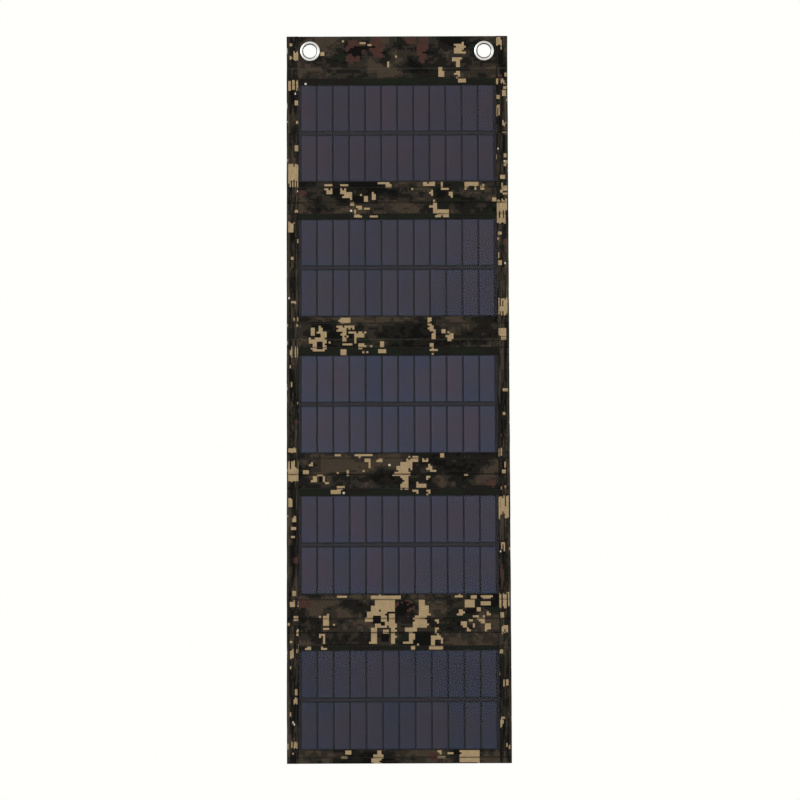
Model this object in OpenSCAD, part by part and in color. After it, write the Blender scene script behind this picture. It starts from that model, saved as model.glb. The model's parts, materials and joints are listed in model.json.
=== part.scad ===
// Folding solar blanket: five stiff solar panels sewn between two cloths, hung by two eyelets.
// X runs across the blanket, -Y is the side that the cells face, and +Z is up. Sizes are millimetres.
// The origin is midway between the two eyelet centres, in the middle of the header's thickness.
// Each panel's cloth and tape end just short of the creases, where the blanket folds.

/* [Cells] */
// Width of one solar cell
cell_w = 17.3; // [14:0.1:21]
// Height of one solar cell
cell_h = 52; // [42:1:64]
// Gap between neighbouring cells in a row
cell_gap = 0.6; // [0.4:0.1:1.5]
// Gap between the two rows of cells
row_gap = 4; // [3:0.5:8]
// Number of cells in a row
cell_columns = 12; // [8:1:15]
// Bare board between the last cell and the side of the window
side_margin = 2.9; // [1:0.1:6]
// Bare board above the top row and below the bottom row
end_margin = 0.25; // [0.1:0.05:3]

/* [Layers] */
// Thickness of the front and back cloth
cloth_t = 0.35; // [0.2:0.05:0.5]
// Thickness of the edge tape
tape_t = 0.35; // [0.2:0.05:0.5]
// Width of the edge tape's front and back legs
tape_w = 13; // [10:0.5:18]
// Thickness of the stiff board behind the cells
board_t = 0.9; // [0.6:0.1:1.4]
// Thickness of one cell
cell_t = 0.2; // [0.15:0.05:0.3]
// Thickness of the clear film over the cells
film_t = 0.2; // [0.1:0.05:0.3]
// How far the board runs on under the cloth and the tape, past each side of the window
board_overlap = 5; // [3:0.5:8]
// Space behind the board for the flat leads
lead_space = 0.8; // [0.6:0.1:1.2]

/* [Bands] */
// Height of the header above the first window
header_h = 55; // [50:1:80]
// Height of the cloth band between windows 1 and 2
band_1_h = 42; // [38:0.5:60]
// Height of the cloth band between windows 2 and 3
band_2_h = 43; // [38:0.5:60]
// Height of the cloth band between windows 3 and 4
band_3_h = 46.5; // [42:0.5:64]
// Height of the cloth band between windows 4 and 5, which wraps round the folded stack
band_4_h = 61; // [56:0.5:80]
// Height of the hem below the last window
hem_h = 15; // [10:0.5:30]

/* [Folds] */
// Distance from the top edge down to the crease in the header
header_crease = 36.5; // [32:0.5:44]
// Distance from window 1 down to its crease
crease_1 = 23.5; // [16:0.5:30]
// Distance from window 2 down to its crease
crease_2 = 25.5; // [16:0.5:30]
// Distance from window 3 down to its crease
crease_3 = 23.25; // [16:0.25:30]
// Distance from window 4 down to the upper crease of the spine
crease_4 = 26.5; // [20:0.5:32]
// Air left between two layers of the folded stack
stack_air = 0.3; // [0.2:0.05:1]
// How far cloth, tape and leads stop short of each crease
crease_relief = 0.2; // [0.15:0.05:0.5]

/* [Eyelets] */
// Radius of the hole through an eyelet
eyelet_hole_r = 7.5; // [5:0.1:9]
// Wall of the eyelet's barrel
eyelet_wall = 0.6; // [0.4:0.05:1]
// Width of the eyelet's flange, from the hole to its rim
eyelet_flange_w = 3.5; // [2.5:0.1:4]
// Height of the flange over the cloth
eyelet_flange_t = 0.6; // [0.4:0.05:0.8]
// Distance from the top edge down to the eyelet centres
eyelet_drop = 16.5; // [14:0.5:20]
// Distance from a side edge in to an eyelet centre
eyelet_inset = 26; // [24.5:0.5:40]
// Thickness of the washer behind each eyelet
washer_t = 0.4; // [0.3:0.05:0.6]
// Thickness of the stiffener inside the header
stiffener_t = 0.9; // [0.6:0.05:1.2]

/* [Leads] */
// Width of one flat lead
lead_w = 5; // [3:0.5:8]
// Thickness of one flat lead
lead_t = 0.5; // [0.3:0.05:0.55]
// Distance between the centres of the two leads
lead_pitch = 16; // [10:1:20]
// Width of the bus ribbon between the rows of cells
bus_w = 2; // [1:0.5:2.5]
// Thickness of the ribbons on the board
ribbon_t = 0.15; // [0.1:0.05:0.15]
// Height of the tab that joins two neighbouring cells
tab_h = 4; // [2:0.5:8]

/* [Pouch] */
// Width of the pouch
pouch_w = 150; // [140:1:180]
// Depth of the pouch from the back cloth to its outer face
pouch_d = 15; // [14.4:0.1:22]
// Thickness of the pouch cloth
pouch_wall = 0.8; // [0.5:0.1:1]
// Radius of the pouch's corners
pouch_r = 9; // [4:0.5:14]
// Width of the sewn border round the pouch
pouch_border = 6; // [4:0.5:10]
// Distance from window 5's top edge down to the pouch
pouch_top_gap = 12; // [8:0.5:16]
// Distance from the blanket's bottom edge up to the pouch
pouch_bottom_gap = 19.5; // [8:0.5:26]

/* [Zip] */
// Distance from the pouch's sides in to the ends of the zip's slot
zip_end_gap = 13; // [11:0.5:20]
// Air between the slider's rails and the edges of the slot
zip_slot_gap = 0.4; // [0.3:0.1:1]
// Distance from the pouch's top down to the zip
zip_drop = 18; // [16:0.5:24]
// How far the zip's tape runs on under the pouch's face
zip_tape_overlap = 4; // [3:0.5:6]
// Thickness of the zip's tape
zip_tape_t = 0.6; // [0.4:0.1:0.6]
// Width of the zip's coil
coil_w = 4.6; // [3:0.1:6]
// Height of the zip's coil over its tape
coil_t = 1.3; // [1:0.1:1.3]
// Length of the slider along the zip
slider_l = 8; // [7:0.5:12]
// Thickness of the slider's plate and rails
slider_t = 1; // [0.8:0.1:1.2]
// Running clearance round the coil
slider_gap = 0.3; // [0.3:0.05:0.4]
// Distance from the slot's end to the slider's centre when the zip is shut
slider_end = 12; // [8:0.5:20]
// Radius of the pull's pivot bar
pull_bar_r = 0.45; // [0.3:0.05:0.5]
// Length of the pull from its pivot
pull_l = 20; // [14:0.5:22]
// Width of the pull
pull_w = 6; // [5.6:0.1:8]
// Clearance round the pull's pivot bar
pull_gap = 0.25; // [0.2:0.05:0.4]

/* [Regulator] */
// Length of the regulator's case
case_l = 60; // [54:1:70]
// Width of the regulator's case
case_w = 34; // [28:1:40]
// Depth of the case's base
case_base_d = 4.45; // [4:0.05:4.6]
// Depth of the case's cover
case_cover_d = 7.4; // [7.2:0.1:8]
// Wall of the case
case_wall = 1.5; // [1.2:0.1:2]
// Gap between the case and the pouch's side
case_gap = 0.2; // [0.1:0.1:1]
// Distance from the pouch's bottom up to the case's centre
case_rise = 38; // [30:1:44]
// Thickness of the circuit board
circuit_t = 1.6; // [1:0.2:1.8]
// Clearance between the circuit board and the case
circuit_gap = 0.3; // [0.2:0.1:1]
// Side of the converter chip
chip_size = 8; // [5:0.5:9]
// Side of the choke
choke_size = 10; // [8:0.5:11]
// Radius of each capacitor
capacitor_r = 3; // [2:0.5:3.5]
// Space between the parts on the circuit board
component_gap = 4; // [2:0.5:5]

/* [Socket] */
// Inside width of the outlet socket
socket_w = 12.5; // [11:0.1:14]
// Inside height of the outlet socket
socket_h = 5.1; // [4.6:0.1:5.4]
// Wall of the outlet socket
socket_wall = 0.35; // [0.3:0.05:0.5]
// Length of the outlet socket
socket_l = 14; // [12:0.5:18]
// Thickness of the contact tongue in the socket
tongue_t = 1.8; // [1.4:0.1:2]
// Room round the socket in the case and the pouch
socket_gap = 0.4; // [0.3:0.1:1]

/* [Hidden] */
$fn = 64;
cut = 1; // how far a cutting shape runs past the face that it cuts

// across the blanket
window_w = cell_columns * cell_w + (cell_columns - 1) * cell_gap + 2 * side_margin;
window_h = 2 * cell_h + row_gap + 2 * end_margin;
blanket_w = window_w + 2 * tape_w;
cloth_w = blanket_w - 2 * tape_t;
board_w = window_w + 2 * board_overlap;
board_h = window_h + 2 * board_overlap;
eyelet_x = blanket_w / 2 - eyelet_inset;
eyelet_flange_r = eyelet_hole_r + eyelet_flange_w;

// through a panel: y = 0 is the back of the board, and the front is negative
cell_y = -board_t - cell_t;
film_y = cell_y - film_t;
front_y = film_y - cloth_t;
tape_front_y = front_y - tape_t;
back_y = lead_space + cloth_t;
tape_back_y = back_y + tape_t;

// through the header, which is thinner and is centred on the eyelets' straight barrels
header_front_y = -stiffener_t / 2 - cloth_t;
header_back_y = stiffener_t / 2 + cloth_t;

// down the blanket: bands and windows from the top edge, then the creases
top_z = eyelet_drop;
bands = [header_h, band_1_h, band_2_h, band_3_h, band_4_h];
function total(list, count) = count == 0 ? 0 : list[count - 1] + total(list, count - 1);
function window_top(i) = top_z - total(bands, i) - (i - 1) * window_h;
function window_bottom(i) = window_top(i) - window_h;
bottom_z = window_bottom(5) - hem_h;

// the spine is as high as the stack that it wraps: two valley folds and two mountain folds
valley_pitch = -2 * tape_front_y + stack_air;
mountain_pitch = 2 * tape_back_y + stack_air;
spine_h = 2 * valley_pitch + 2 * mountain_pitch + stack_air;
spine_top = window_bottom(4) - crease_4;
spine_bottom = spine_top - spine_h;
creases = [top_z - header_crease, window_bottom(1) - crease_1, window_bottom(2) - crease_2,
    window_bottom(3) - crease_3, spine_top];
function panel_top(i) = (i == 5 ? spine_bottom : creases[i - 1]) - crease_relief;
function panel_bottom(i) = i == 5 ? bottom_z : creases[i] + crease_relief;

// the pouch on the back of panel 5
pouch_top = window_top(5) - pouch_top_gap;
pouch_h = pouch_top - bottom_z - pouch_bottom_gap;
pouch_z = pouch_top - pouch_h / 2;
face_y = back_y + pouch_d;
inner_face_y = face_y - pouch_wall;
zip_z = pouch_top - zip_drop;
zip_length = pouch_w - 2 * zip_end_gap;
zip_slot_w = coil_w + 2 * (slider_gap + slider_t + zip_slot_gap);
coil_y = inner_face_y + coil_t;
slider_x = zip_length / 2 - slider_end;
rail_z = coil_w / 2 + slider_gap;
plate_y = coil_y + slider_gap;
pull_y = plate_y + slider_t + pull_gap + pull_bar_r;
lug_w = 2.4;
lug_t = 0.8;

// the regulator inside the pouch, against its -X side
case_x = -pouch_w / 2 + pouch_wall + case_gap;
case_z = pouch_top - pouch_h + case_rise;
case_split_y = back_y + case_base_d;
case_top_y = case_split_y + case_cover_d;
circuit_y = case_split_y - circuit_t;
circuit_l = case_l - 2 * (case_wall + circuit_gap);
circuit_w = case_w - 2 * (case_wall + circuit_gap);
socket_outer_w = socket_w + 2 * socket_wall;
socket_outer_h = socket_h + 2 * socket_wall;
lead_centre_x = case_x + case_l / 2 + lead_pitch / 4;
lead_hole_gap = 0.5;

// A box given by its lowest and highest corners
module slab(low, high) {
    translate(low) cube(high - low);
}

// A flat rectangle with round corners, centred
module round_rectangle(w, h, r) {
    square([w - 2 * r, h], center = true);
    square([w, h - 2 * r], center = true);
    for (x = [-1, 1], y = [-1, 1])
        translate([x * (w / 2 - r), y * (h / 2 - r)]) circle(r);
}

// A round-cornered prism on the back of panel 5, from one depth to another
module pouch_prism(w, h, r, y0, y1) {
    translate([0, y0, pouch_z]) rotate([-90, 0, 0]) linear_extrude(y1 - y0) round_rectangle(w, h, r);
}

// A cylinder along Y through an eyelet's centre
module eyelet_cylinder(side, r, y0, y1) {
    translate([side * eyelet_x, y1, 0]) rotate([90, 0, 0]) cylinder(r = r, h = y1 - y0);
}

// One layer of the header, with the eyelet holes cut through it
module header_layer(w, y0, y1, z0, z1) {
    difference() {
        slab([-w / 2, y0, z0], [w / 2, y1, z1]);
        for (side = [-1, 1])
            eyelet_cylinder(side, eyelet_hole_r + eyelet_wall, y0 - cut, y1 + cut);
    }
}

// Tape folded round both side edges, from one height to another
module edge_tapes(y_front, y_back, z0, z1) {
    for (side = [0, 1]) mirror([side, 0, 0]) difference() {
        slab([blanket_w / 2 - tape_w, y_front, z0], [blanket_w / 2, y_back, z1]);
        slab([blanket_w / 2 - tape_w - cut, y_front + tape_t, z0 - cut],
            [blanket_w / 2 - tape_t, y_back - tape_t, z1 + cut]);
    }
}

// The two flat leads behind the boards, from one height to another
module lead_pair(z0, z1) {
    for (side = [-1, 1]) {
        x = lead_centre_x + side * lead_pitch / 2;
        slab([x - lead_w / 2, 0, z0], [x + lead_w / 2, lead_t, z1]);
    }
}

module header_front_cloth() {
    color("#35302a")
        header_layer(cloth_w, header_front_y, header_front_y + cloth_t, creases[0] + crease_relief, top_z);
}

module header_back_cloth() {
    color("#35302a")
        header_layer(cloth_w, header_back_y - cloth_t, header_back_y, creases[0] + crease_relief, top_z);
}

module header_edge_tapes() {
    color("#4b4138")
        edge_tapes(header_front_y - tape_t, header_back_y + tape_t, creases[0] + crease_relief, top_z);
}

// Stiff webbing between the header's cloths, which spreads the pull of the eyelets
module header_stiffener() {
    color("#1d1b19")
        header_layer(cloth_w, -stiffener_t / 2, stiffener_t / 2, creases[0] + crease_relief, top_z);
}

// Eyelet turned about its own axis: straight barrel, domed flange in front, rolled lip behind
module eyelet(side) {
    dome = 0.45 * eyelet_flange_w;
    lip_y = header_back_y + washer_t;
    color("#b9b8b4") translate([side * eyelet_x, 0, 0]) rotate([90, 0, 0]) rotate_extrude() polygon([
        [eyelet_hole_r, -header_back_y],
        [eyelet_hole_r, -header_front_y],
        [eyelet_hole_r + 0.35 * dome, -header_front_y + 0.75 * eyelet_flange_t],
        [eyelet_hole_r + dome, -header_front_y + eyelet_flange_t],
        [eyelet_flange_r - 0.4 * dome, -header_front_y + 0.75 * eyelet_flange_t],
        [eyelet_flange_r, -header_front_y],
        [eyelet_hole_r + eyelet_wall, -header_front_y],
        [eyelet_hole_r + eyelet_wall, -lip_y],
        [eyelet_hole_r + 2.5 * eyelet_wall, -lip_y],
        [eyelet_hole_r + 2.2 * eyelet_wall, -lip_y - 0.25],
        [eyelet_hole_r + 1.2 * eyelet_wall, -lip_y - 0.35]]);
}

module left_eyelet() {
    eyelet(-1);
}

module right_eyelet() {
    eyelet(1);
}

module eyelet_washers() {
    color("#a3a29e") for (side = [-1, 1]) difference() {
        eyelet_cylinder(side, eyelet_flange_r, header_back_y, header_back_y + washer_t);
        eyelet_cylinder(side, eyelet_hole_r + eyelet_wall, header_back_y - cut, header_back_y + washer_t + cut);
    }
}

// Front cloth above and below the window, over the ends of the board
module front_cloth(i) {
    color("#35302a") {
        slab([-cloth_w / 2, front_y, window_top(i)], [cloth_w / 2, film_y, panel_top(i)]);
        slab([-cloth_w / 2, front_y, panel_bottom(i)], [cloth_w / 2, film_y, window_bottom(i)]);
    }
}

// Back cloth in one piece. Panel 5's has two small holes for the leads to the regulator.
module back_cloth(i) {
    color("#2b2722") difference() {
        slab([-cloth_w / 2, lead_space, panel_bottom(i)], [cloth_w / 2, back_y, panel_top(i)]);
        if (i == 5) lead_holes(lead_space, back_y);
    }
}

module panel_edge_tapes(i) {
    color("#4b4138") edge_tapes(tape_front_y, tape_back_y, panel_bottom(i), panel_top(i));
}

module board(i) {
    z = window_bottom(i) - board_overlap;
    color("#2f2b2b") slab([-board_w / 2, -board_t, z], [board_w / 2, 0, z + board_h]);
}

// Lowest corner of the cell at a column and row, seen from the front
function cell_corner(i, column, row) = [
    -window_w / 2 + side_margin + column * (cell_w + cell_gap),
    cell_y,
    window_bottom(i) + end_margin + row * (cell_h + row_gap)];

module cells(i) {
    color("#434551") for (column = [0 : cell_columns - 1], row = [0, 1])
        translate(cell_corner(i, column, row)) cube([cell_w, cell_t, cell_h]);
}

// Tabs that join neighbouring cells, and the bus ribbon between the two rows
module ribbons(i) {
    row_mid = window_bottom(i) + window_h / 2;
    half_run = window_w / 2 - side_margin;
    color("#4a4744") {
        for (column = [0 : cell_columns - 2], row = [0, 1])
            translate(cell_corner(i, column, row) + [cell_w, cell_t - ribbon_t, (cell_h - tab_h) / 2])
                cube([cell_gap, ribbon_t, tab_h]);
        slab([-half_run, -board_t - ribbon_t, row_mid - bus_w / 2], [half_run, -board_t, row_mid + bus_w / 2]);
    }
}

module film(i) {
    z = window_bottom(i) - board_overlap;
    color([0.75, 0.8, 0.85, 0.3]) slab([-board_w / 2, film_y, z], [board_w / 2, cell_y, z + board_h]);
}

// Flat leads. The first pair starts halfway up board 1, and the last pair turns back into the regulator.
module leads(i) {
    color("#1c1c1e") {
        lead_pair(i == 5 ? case_z - lead_w / 2 : panel_bottom(i),
            i == 1 ? window_top(1) - window_h / 2 : panel_top(i));
        if (i == 5) for (side = [-1, 1])
            translate([lead_centre_x + side * lead_pitch / 2, 0, 0])
                slab([-lead_w / 2, lead_t, case_z - lead_t], [lead_w / 2, circuit_y, case_z + lead_t]);
    }
}

// Clearance holes for the two leads, from one depth to another
module lead_holes(y0, y1) {
    for (side = [-1, 1])
        translate([lead_centre_x + side * lead_pitch / 2, 0, 0])
            slab([-lead_w / 2 - lead_hole_gap, y0 - cut, case_z - lead_t - lead_hole_gap],
                [lead_w / 2 + lead_hole_gap, y1 + cut, case_z + lead_t + lead_hole_gap]);
}

module spine_front_cloth() {
    color("#35302a") slab([-cloth_w / 2, front_y, spine_bottom + crease_relief],
        [cloth_w / 2, film_y, spine_top - crease_relief]);
}

module spine_back_cloth() {
    color("#2b2722") slab([-cloth_w / 2, lead_space, spine_bottom + crease_relief],
        [cloth_w / 2, back_y, spine_top - crease_relief]);
}

module spine_edge_tapes() {
    color("#4b4138")
        edge_tapes(tape_front_y, tape_back_y, spine_bottom + crease_relief, spine_top - crease_relief);
}

module spine_leads() {
    color("#1c1c1e") lead_pair(spine_bottom + crease_relief, spine_top - crease_relief);
}

// Pouch sewn on by its border, open towards the back cloth, with a zip slot and a window for the socket
module pouch_cloth() {
    color("#3a342d") difference() {
        union() {
            pouch_prism(pouch_w + 2 * pouch_border, pouch_h + 2 * pouch_border, pouch_r + pouch_border,
                back_y, back_y + pouch_wall);
            pouch_prism(pouch_w, pouch_h, pouch_r, back_y, face_y);
        }
        pouch_prism(pouch_w - 2 * pouch_wall, pouch_h - 2 * pouch_wall, pouch_r - pouch_wall,
            back_y - cut, inner_face_y);
        slab([-zip_length / 2, inner_face_y - cut, zip_z - zip_slot_w / 2],
            [zip_length / 2, face_y + cut, zip_z + zip_slot_w / 2]);
        slab([-pouch_w / 2 - cut, case_split_y - socket_gap, case_z - socket_outer_w / 2 - socket_gap],
            [case_x, case_split_y + socket_outer_h + socket_gap, case_z + socket_outer_w / 2 + socket_gap]);
    }
}

// Shut zip: its tape lies against the inside of the pouch's face, and its coil stands in the slot
module pouch_zip() {
    color("#211f1d") {
        slab([-zip_length / 2 - zip_tape_overlap, inner_face_y - zip_tape_t, zip_z - zip_slot_w / 2 - zip_tape_overlap],
            [zip_length / 2 + zip_tape_overlap, inner_face_y, zip_z + zip_slot_w / 2 + zip_tape_overlap]);
        slab([-zip_length / 2 + cut, inner_face_y, zip_z - coil_w / 2], [zip_length / 2 - cut, coil_y, zip_z + coil_w / 2]);
    }
}

// Slider: plate over the coil, two rails beside it, and a lug that the pull's bar passes under
module zip_slider() {
    lug_y = pull_y + pull_bar_r + pull_gap;
    post_x = pull_bar_r + pull_gap;
    color("#8d8c88") translate([slider_x, 0, zip_z]) {
        slab([-slider_l / 2, plate_y, -rail_z - slider_t], [slider_l / 2, plate_y + slider_t, rail_z + slider_t]);
        for (side = [0, 1]) mirror([0, 0, side])
            slab([-slider_l / 2, inner_face_y + slider_gap, rail_z], [slider_l / 2, plate_y, rail_z + slider_t]);
        for (side = [0, 1]) mirror([side, 0, 0])
            slab([post_x, plate_y + slider_t, -lug_w / 2], [post_x + lug_t, lug_y, lug_w / 2]);
        slab([-post_x - lug_t, lug_y, -lug_w / 2], [post_x + lug_t, lug_y + lug_t, lug_w / 2]);
    }
}

// Pull: a round bar under the slider's lug, two arms past the lug, and a flat tab with a hole
module zip_pull() {
    arm_z = lug_w / 2 + pull_gap;
    arm_l = slider_l / 2 + cut;
    color("#8d8c88") translate([slider_x, pull_y, zip_z]) {
        translate([0, 0, -pull_w / 2]) cylinder(r = pull_bar_r, h = pull_w);
        for (side = [0, 1]) mirror([0, 0, side])
            slab([-arm_l, -pull_bar_r, arm_z], [0, pull_bar_r, pull_w / 2]);
        difference() {
            slab([-pull_l, -pull_bar_r, -pull_w / 2], [-arm_l, pull_bar_r, pull_w / 2]);
            translate([-pull_l + pull_w / 2, cut, 0]) rotate([90, 0, 0]) cylinder(r = pull_w / 5, h = 2 * cut);
        }
    }
}

// Half of the regulator's case: a tray between two depths, open on the side of the split
module case_tray(y0, y1, floor_y0, floor_y1) {
    difference() {
        slab([case_x, y0, case_z - case_w / 2], [case_x + case_l, y1, case_z + case_w / 2]);
        slab([case_x + case_wall, floor_y0, case_z - case_w / 2 + case_wall],
            [case_x + case_l - case_wall, floor_y1, case_z + case_w / 2 - case_wall]);
    }
}

// Base, glued to the back cloth, with slots for the leads
module regulator_base() {
    color("#232325") difference() {
        case_tray(back_y, case_split_y, back_y + case_wall, case_split_y + cut);
        lead_holes(back_y, back_y + case_wall);
    }
}

// Cover, with an opening round the socket
module regulator_cover() {
    color("#29292b") difference() {
        case_tray(case_split_y, case_top_y, case_split_y - cut, case_top_y - case_wall);
        slab([case_x - cut, case_split_y - cut, case_z - socket_outer_w / 2 - socket_gap],
            [case_x + case_wall + cut, case_split_y + socket_outer_h + socket_gap,
                case_z + socket_outer_w / 2 + socket_gap]);
    }
}

module circuit_board() {
    x = case_x + case_wall + circuit_gap;
    color("#1f4a30") slab([x, circuit_y, case_z - circuit_w / 2], [x + circuit_l, case_split_y, case_z + circuit_w / 2]);
}

// A box of a given side, standing on the circuit board at a distance past the socket
module component_box(x, side, height) {
    slab([case_x + case_wall + socket_l + x, case_split_y, case_z - side / 2],
        [case_x + case_wall + socket_l + x + side, case_split_y + height, case_z + side / 2]);
}

// Converter chip, choke and two capacitors, in a row behind the socket
module circuit_components() {
    room = case_cover_d - case_wall - circuit_gap;
    choke_x = component_gap + chip_size + component_gap;
    capacitor_x = choke_x + choke_size + component_gap + capacitor_r;
    color("#3b3a3a") {
        component_box(component_gap, chip_size, room / 3);
        component_box(choke_x, choke_size, 0.8 * room);
        for (side = [-1, 1])
            translate([case_x + case_wall + socket_l + capacitor_x, case_split_y + room,
                    case_z + side * (capacitor_r + component_gap / 2)])
                rotate([90, 0, 0]) cylinder(r = capacitor_r, h = room);
    }
}

// Outlet socket: a metal shell lying on the circuit board, its mouth towards -X, with a contact tongue
module outlet_socket() {
    low = [case_x, case_split_y, case_z - socket_outer_w / 2];
    color("#b4b3af") {
        difference() {
            slab(low, low + [socket_l, socket_outer_h, socket_outer_w]);
            slab(low + [-cut, socket_wall, socket_wall],
                low + [socket_l - socket_wall, socket_wall + socket_h, socket_wall + socket_w]);
        }
        slab(low + [socket_wall, socket_wall + socket_h - tongue_t - socket_gap, 2 * socket_wall + socket_gap],
            low + [socket_l - socket_wall, socket_wall + socket_h - socket_gap, socket_w - socket_gap]);
    }
}

header_front_cloth();
header_back_cloth();
header_edge_tapes();
header_stiffener();
left_eyelet();
right_eyelet();
eyelet_washers();
for (i = [1 : 5]) {
    front_cloth(i);
    back_cloth(i);
    panel_edge_tapes(i);
    board(i);
    cells(i);
    ribbons(i);
    film(i);
    leads(i);
}
spine_front_cloth();
spine_back_cloth();
spine_edge_tapes();
spine_leads();
pouch_cloth();
pouch_zip();
zip_slider();
zip_pull();
regulator_base();
regulator_cover();
circuit_board();
circuit_components();
outlet_socket();
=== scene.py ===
"""Folding solar blanket, hung from its two eyelets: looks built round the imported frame, in metres."""
import json
import math

import bmesh
import bpy
import numpy as np
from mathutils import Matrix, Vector


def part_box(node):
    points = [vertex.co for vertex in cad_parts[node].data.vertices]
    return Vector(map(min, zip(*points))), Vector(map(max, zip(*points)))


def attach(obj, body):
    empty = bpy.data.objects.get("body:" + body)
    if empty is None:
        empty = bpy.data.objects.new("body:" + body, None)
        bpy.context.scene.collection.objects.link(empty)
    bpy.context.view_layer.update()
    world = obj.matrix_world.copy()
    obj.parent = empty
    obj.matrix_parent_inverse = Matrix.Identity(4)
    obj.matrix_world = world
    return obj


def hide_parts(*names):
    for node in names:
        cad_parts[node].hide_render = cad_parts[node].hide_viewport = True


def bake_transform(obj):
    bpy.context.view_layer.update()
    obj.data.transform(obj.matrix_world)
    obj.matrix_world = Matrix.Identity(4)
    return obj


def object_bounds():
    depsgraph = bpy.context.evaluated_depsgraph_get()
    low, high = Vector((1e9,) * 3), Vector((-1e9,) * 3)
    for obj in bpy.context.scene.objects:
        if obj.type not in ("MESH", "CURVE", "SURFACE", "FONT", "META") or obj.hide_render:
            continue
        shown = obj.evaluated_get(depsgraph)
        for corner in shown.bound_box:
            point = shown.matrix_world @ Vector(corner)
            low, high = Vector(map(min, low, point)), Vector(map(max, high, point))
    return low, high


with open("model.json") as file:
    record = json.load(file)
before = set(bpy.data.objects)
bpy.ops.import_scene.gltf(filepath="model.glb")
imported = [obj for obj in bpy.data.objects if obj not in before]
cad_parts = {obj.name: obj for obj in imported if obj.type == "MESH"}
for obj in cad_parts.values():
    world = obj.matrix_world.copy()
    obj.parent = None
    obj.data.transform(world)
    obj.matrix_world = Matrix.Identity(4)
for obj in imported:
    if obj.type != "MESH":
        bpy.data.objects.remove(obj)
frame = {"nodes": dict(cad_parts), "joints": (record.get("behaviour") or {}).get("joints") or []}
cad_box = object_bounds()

MM = 0.001


# ---------------------------------------------------------------- header stiffener
# A flat strip of black polypropylene webbing inside the header, which keeps the eyelets apart.
# It is held by the seams above and below it and by the two eyelets that are pressed through it.

def linear(code):
    """sRGB hex to linear colour: c / 12.92 up to 0.04045, and ((c + 0.055) / 1.055) ** 2.4 above it."""
    parts = [int(code[at:at + 2], 16) / 255 for at in (1, 3, 5)]
    return [c / 12.92 if c <= 0.04045 else ((c + 0.055) / 1.055) ** 2.4 for c in parts] + [1.0]


def add(finish, kind, inputs=None, stops=None, **settings):
    """Adds a shader node to a material. inputs maps a socket's name or number to its value, or to the
    output that feeds it. stops are a colour ramp's (place, hex colour) pairs."""
    tree = finish.node_tree
    made = tree.nodes.new("ShaderNode" + kind)
    for name, value in settings.items():
        setattr(made, name, value)
    for place, code in (stops or [])[2:]:
        made.color_ramp.elements.new(place)
    for stop, (place, code) in zip(made.color_ramp.elements if stops else [], stops or []):
        stop.position = place
        stop.color = linear(code)
    for key, value in (inputs or {}).items():
        if isinstance(value, bpy.types.NodeSocket):
            tree.links.new(value, made.inputs[key])
        else:
            made.inputs[key].default_value = value
    return made


def bare(name):
    """A new material with no nodes yet."""
    made = bpy.data.materials.new(name)
    made.use_nodes = True
    made.node_tree.nodes.clear()
    return made


def finish_node(name, material):
    """Gives a CAD node its material."""
    held = frame["nodes"][name].data.materials
    held.clear()
    held.append(material)


def patterned(name, texture, inputs, stops, look, rough=None, bump=None, stretch=None, **settings):
    """A finish from one pattern on Object coordinates. The pattern picks the colour between the stops,
    and where they are given the roughness between two values and a bump of some strength and depth.
    inputs are the pattern's own, look is the shader's, and stretch scales the pattern by axis."""
    made = bare(name)
    place = add(made, "TexCoord").outputs["Object"]
    if stretch:
        place = add(made, "Mapping", {"Vector": place, "Scale": stretch}).outputs[0]
    pattern = add(made, texture, {"Vector": place, **inputs}, **settings).outputs["Fac"]
    look = {**look, "Base Color": add(made, "ValToRGB", {"Fac": pattern}, stops).outputs[0]}
    if rough:
        spread = {"Value": pattern, "To Min": rough[0], "To Max": rough[1]}
        look["Roughness"] = add(made, "MapRange", spread).outputs[0]
    if bump:
        relief = {"Height": pattern, "Strength": bump[0], "Distance": bump[1]}
        look["Normal"] = add(made, "Bump", relief).outputs[0]
    shader = add(made, "BsdfPrincipled", look)
    add(made, "OutputMaterial", {"Surface": shader.outputs[0]})
    return made


WAVE = 0.314    # a Wave texture with this scale over a length has its bands that length apart


def polypropylene_webbing():
    """Polypropylene webbing, woven flat from black yarn: ribs 1.6 mm apart across it, and a dull shine."""
    made = bare("black polypropylene webbing, woven")
    place = add(made, "TexCoord").outputs["Object"]
    ribs = add(made, "TexWave", {"Vector": place, "Scale": WAVE / (1.6 * MM), "Distortion": 1.5,
                                 "Detail Scale": 2.0}, bands_direction="X")
    yarn = add(made, "TexNoise", {"Vector": place, "Scale": 1 / (0.8 * MM), "Detail": 3.0})
    shade = add(made, "ValToRGB", {"Fac": ribs.outputs["Fac"]}, [(0.2, "#121212"), (0.9, "#26262a")])
    bump = add(made, "Bump", {"Height": ribs.outputs["Fac"], "Strength": 0.5, "Distance": 0.2 * MM})
    fuzz = add(made, "Bump", {"Height": yarn.outputs["Fac"], "Normal": bump.outputs[0], "Strength": 0.3,
                              "Distance": 0.1 * MM})
    shader = add(made, "BsdfPrincipled", {"Base Color": shade.outputs[0], "Roughness": 0.62,
                                          "Normal": fuzz.outputs[0]})
    add(made, "OutputMaterial", {"Surface": shader.outputs[0]})
    return made


finish_node("header_stiffener", polypropylene_webbing())


# ---------------------------------------------------------------- backing boards
# Five stiff glass-fibre boards, 0.9 mm thick, that carry the cells and are caught between the cloths.
# They are cut from pressed sheet, painted dark, and the cells and the film are laminated onto them.

PANELS = range(1, 6)

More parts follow.
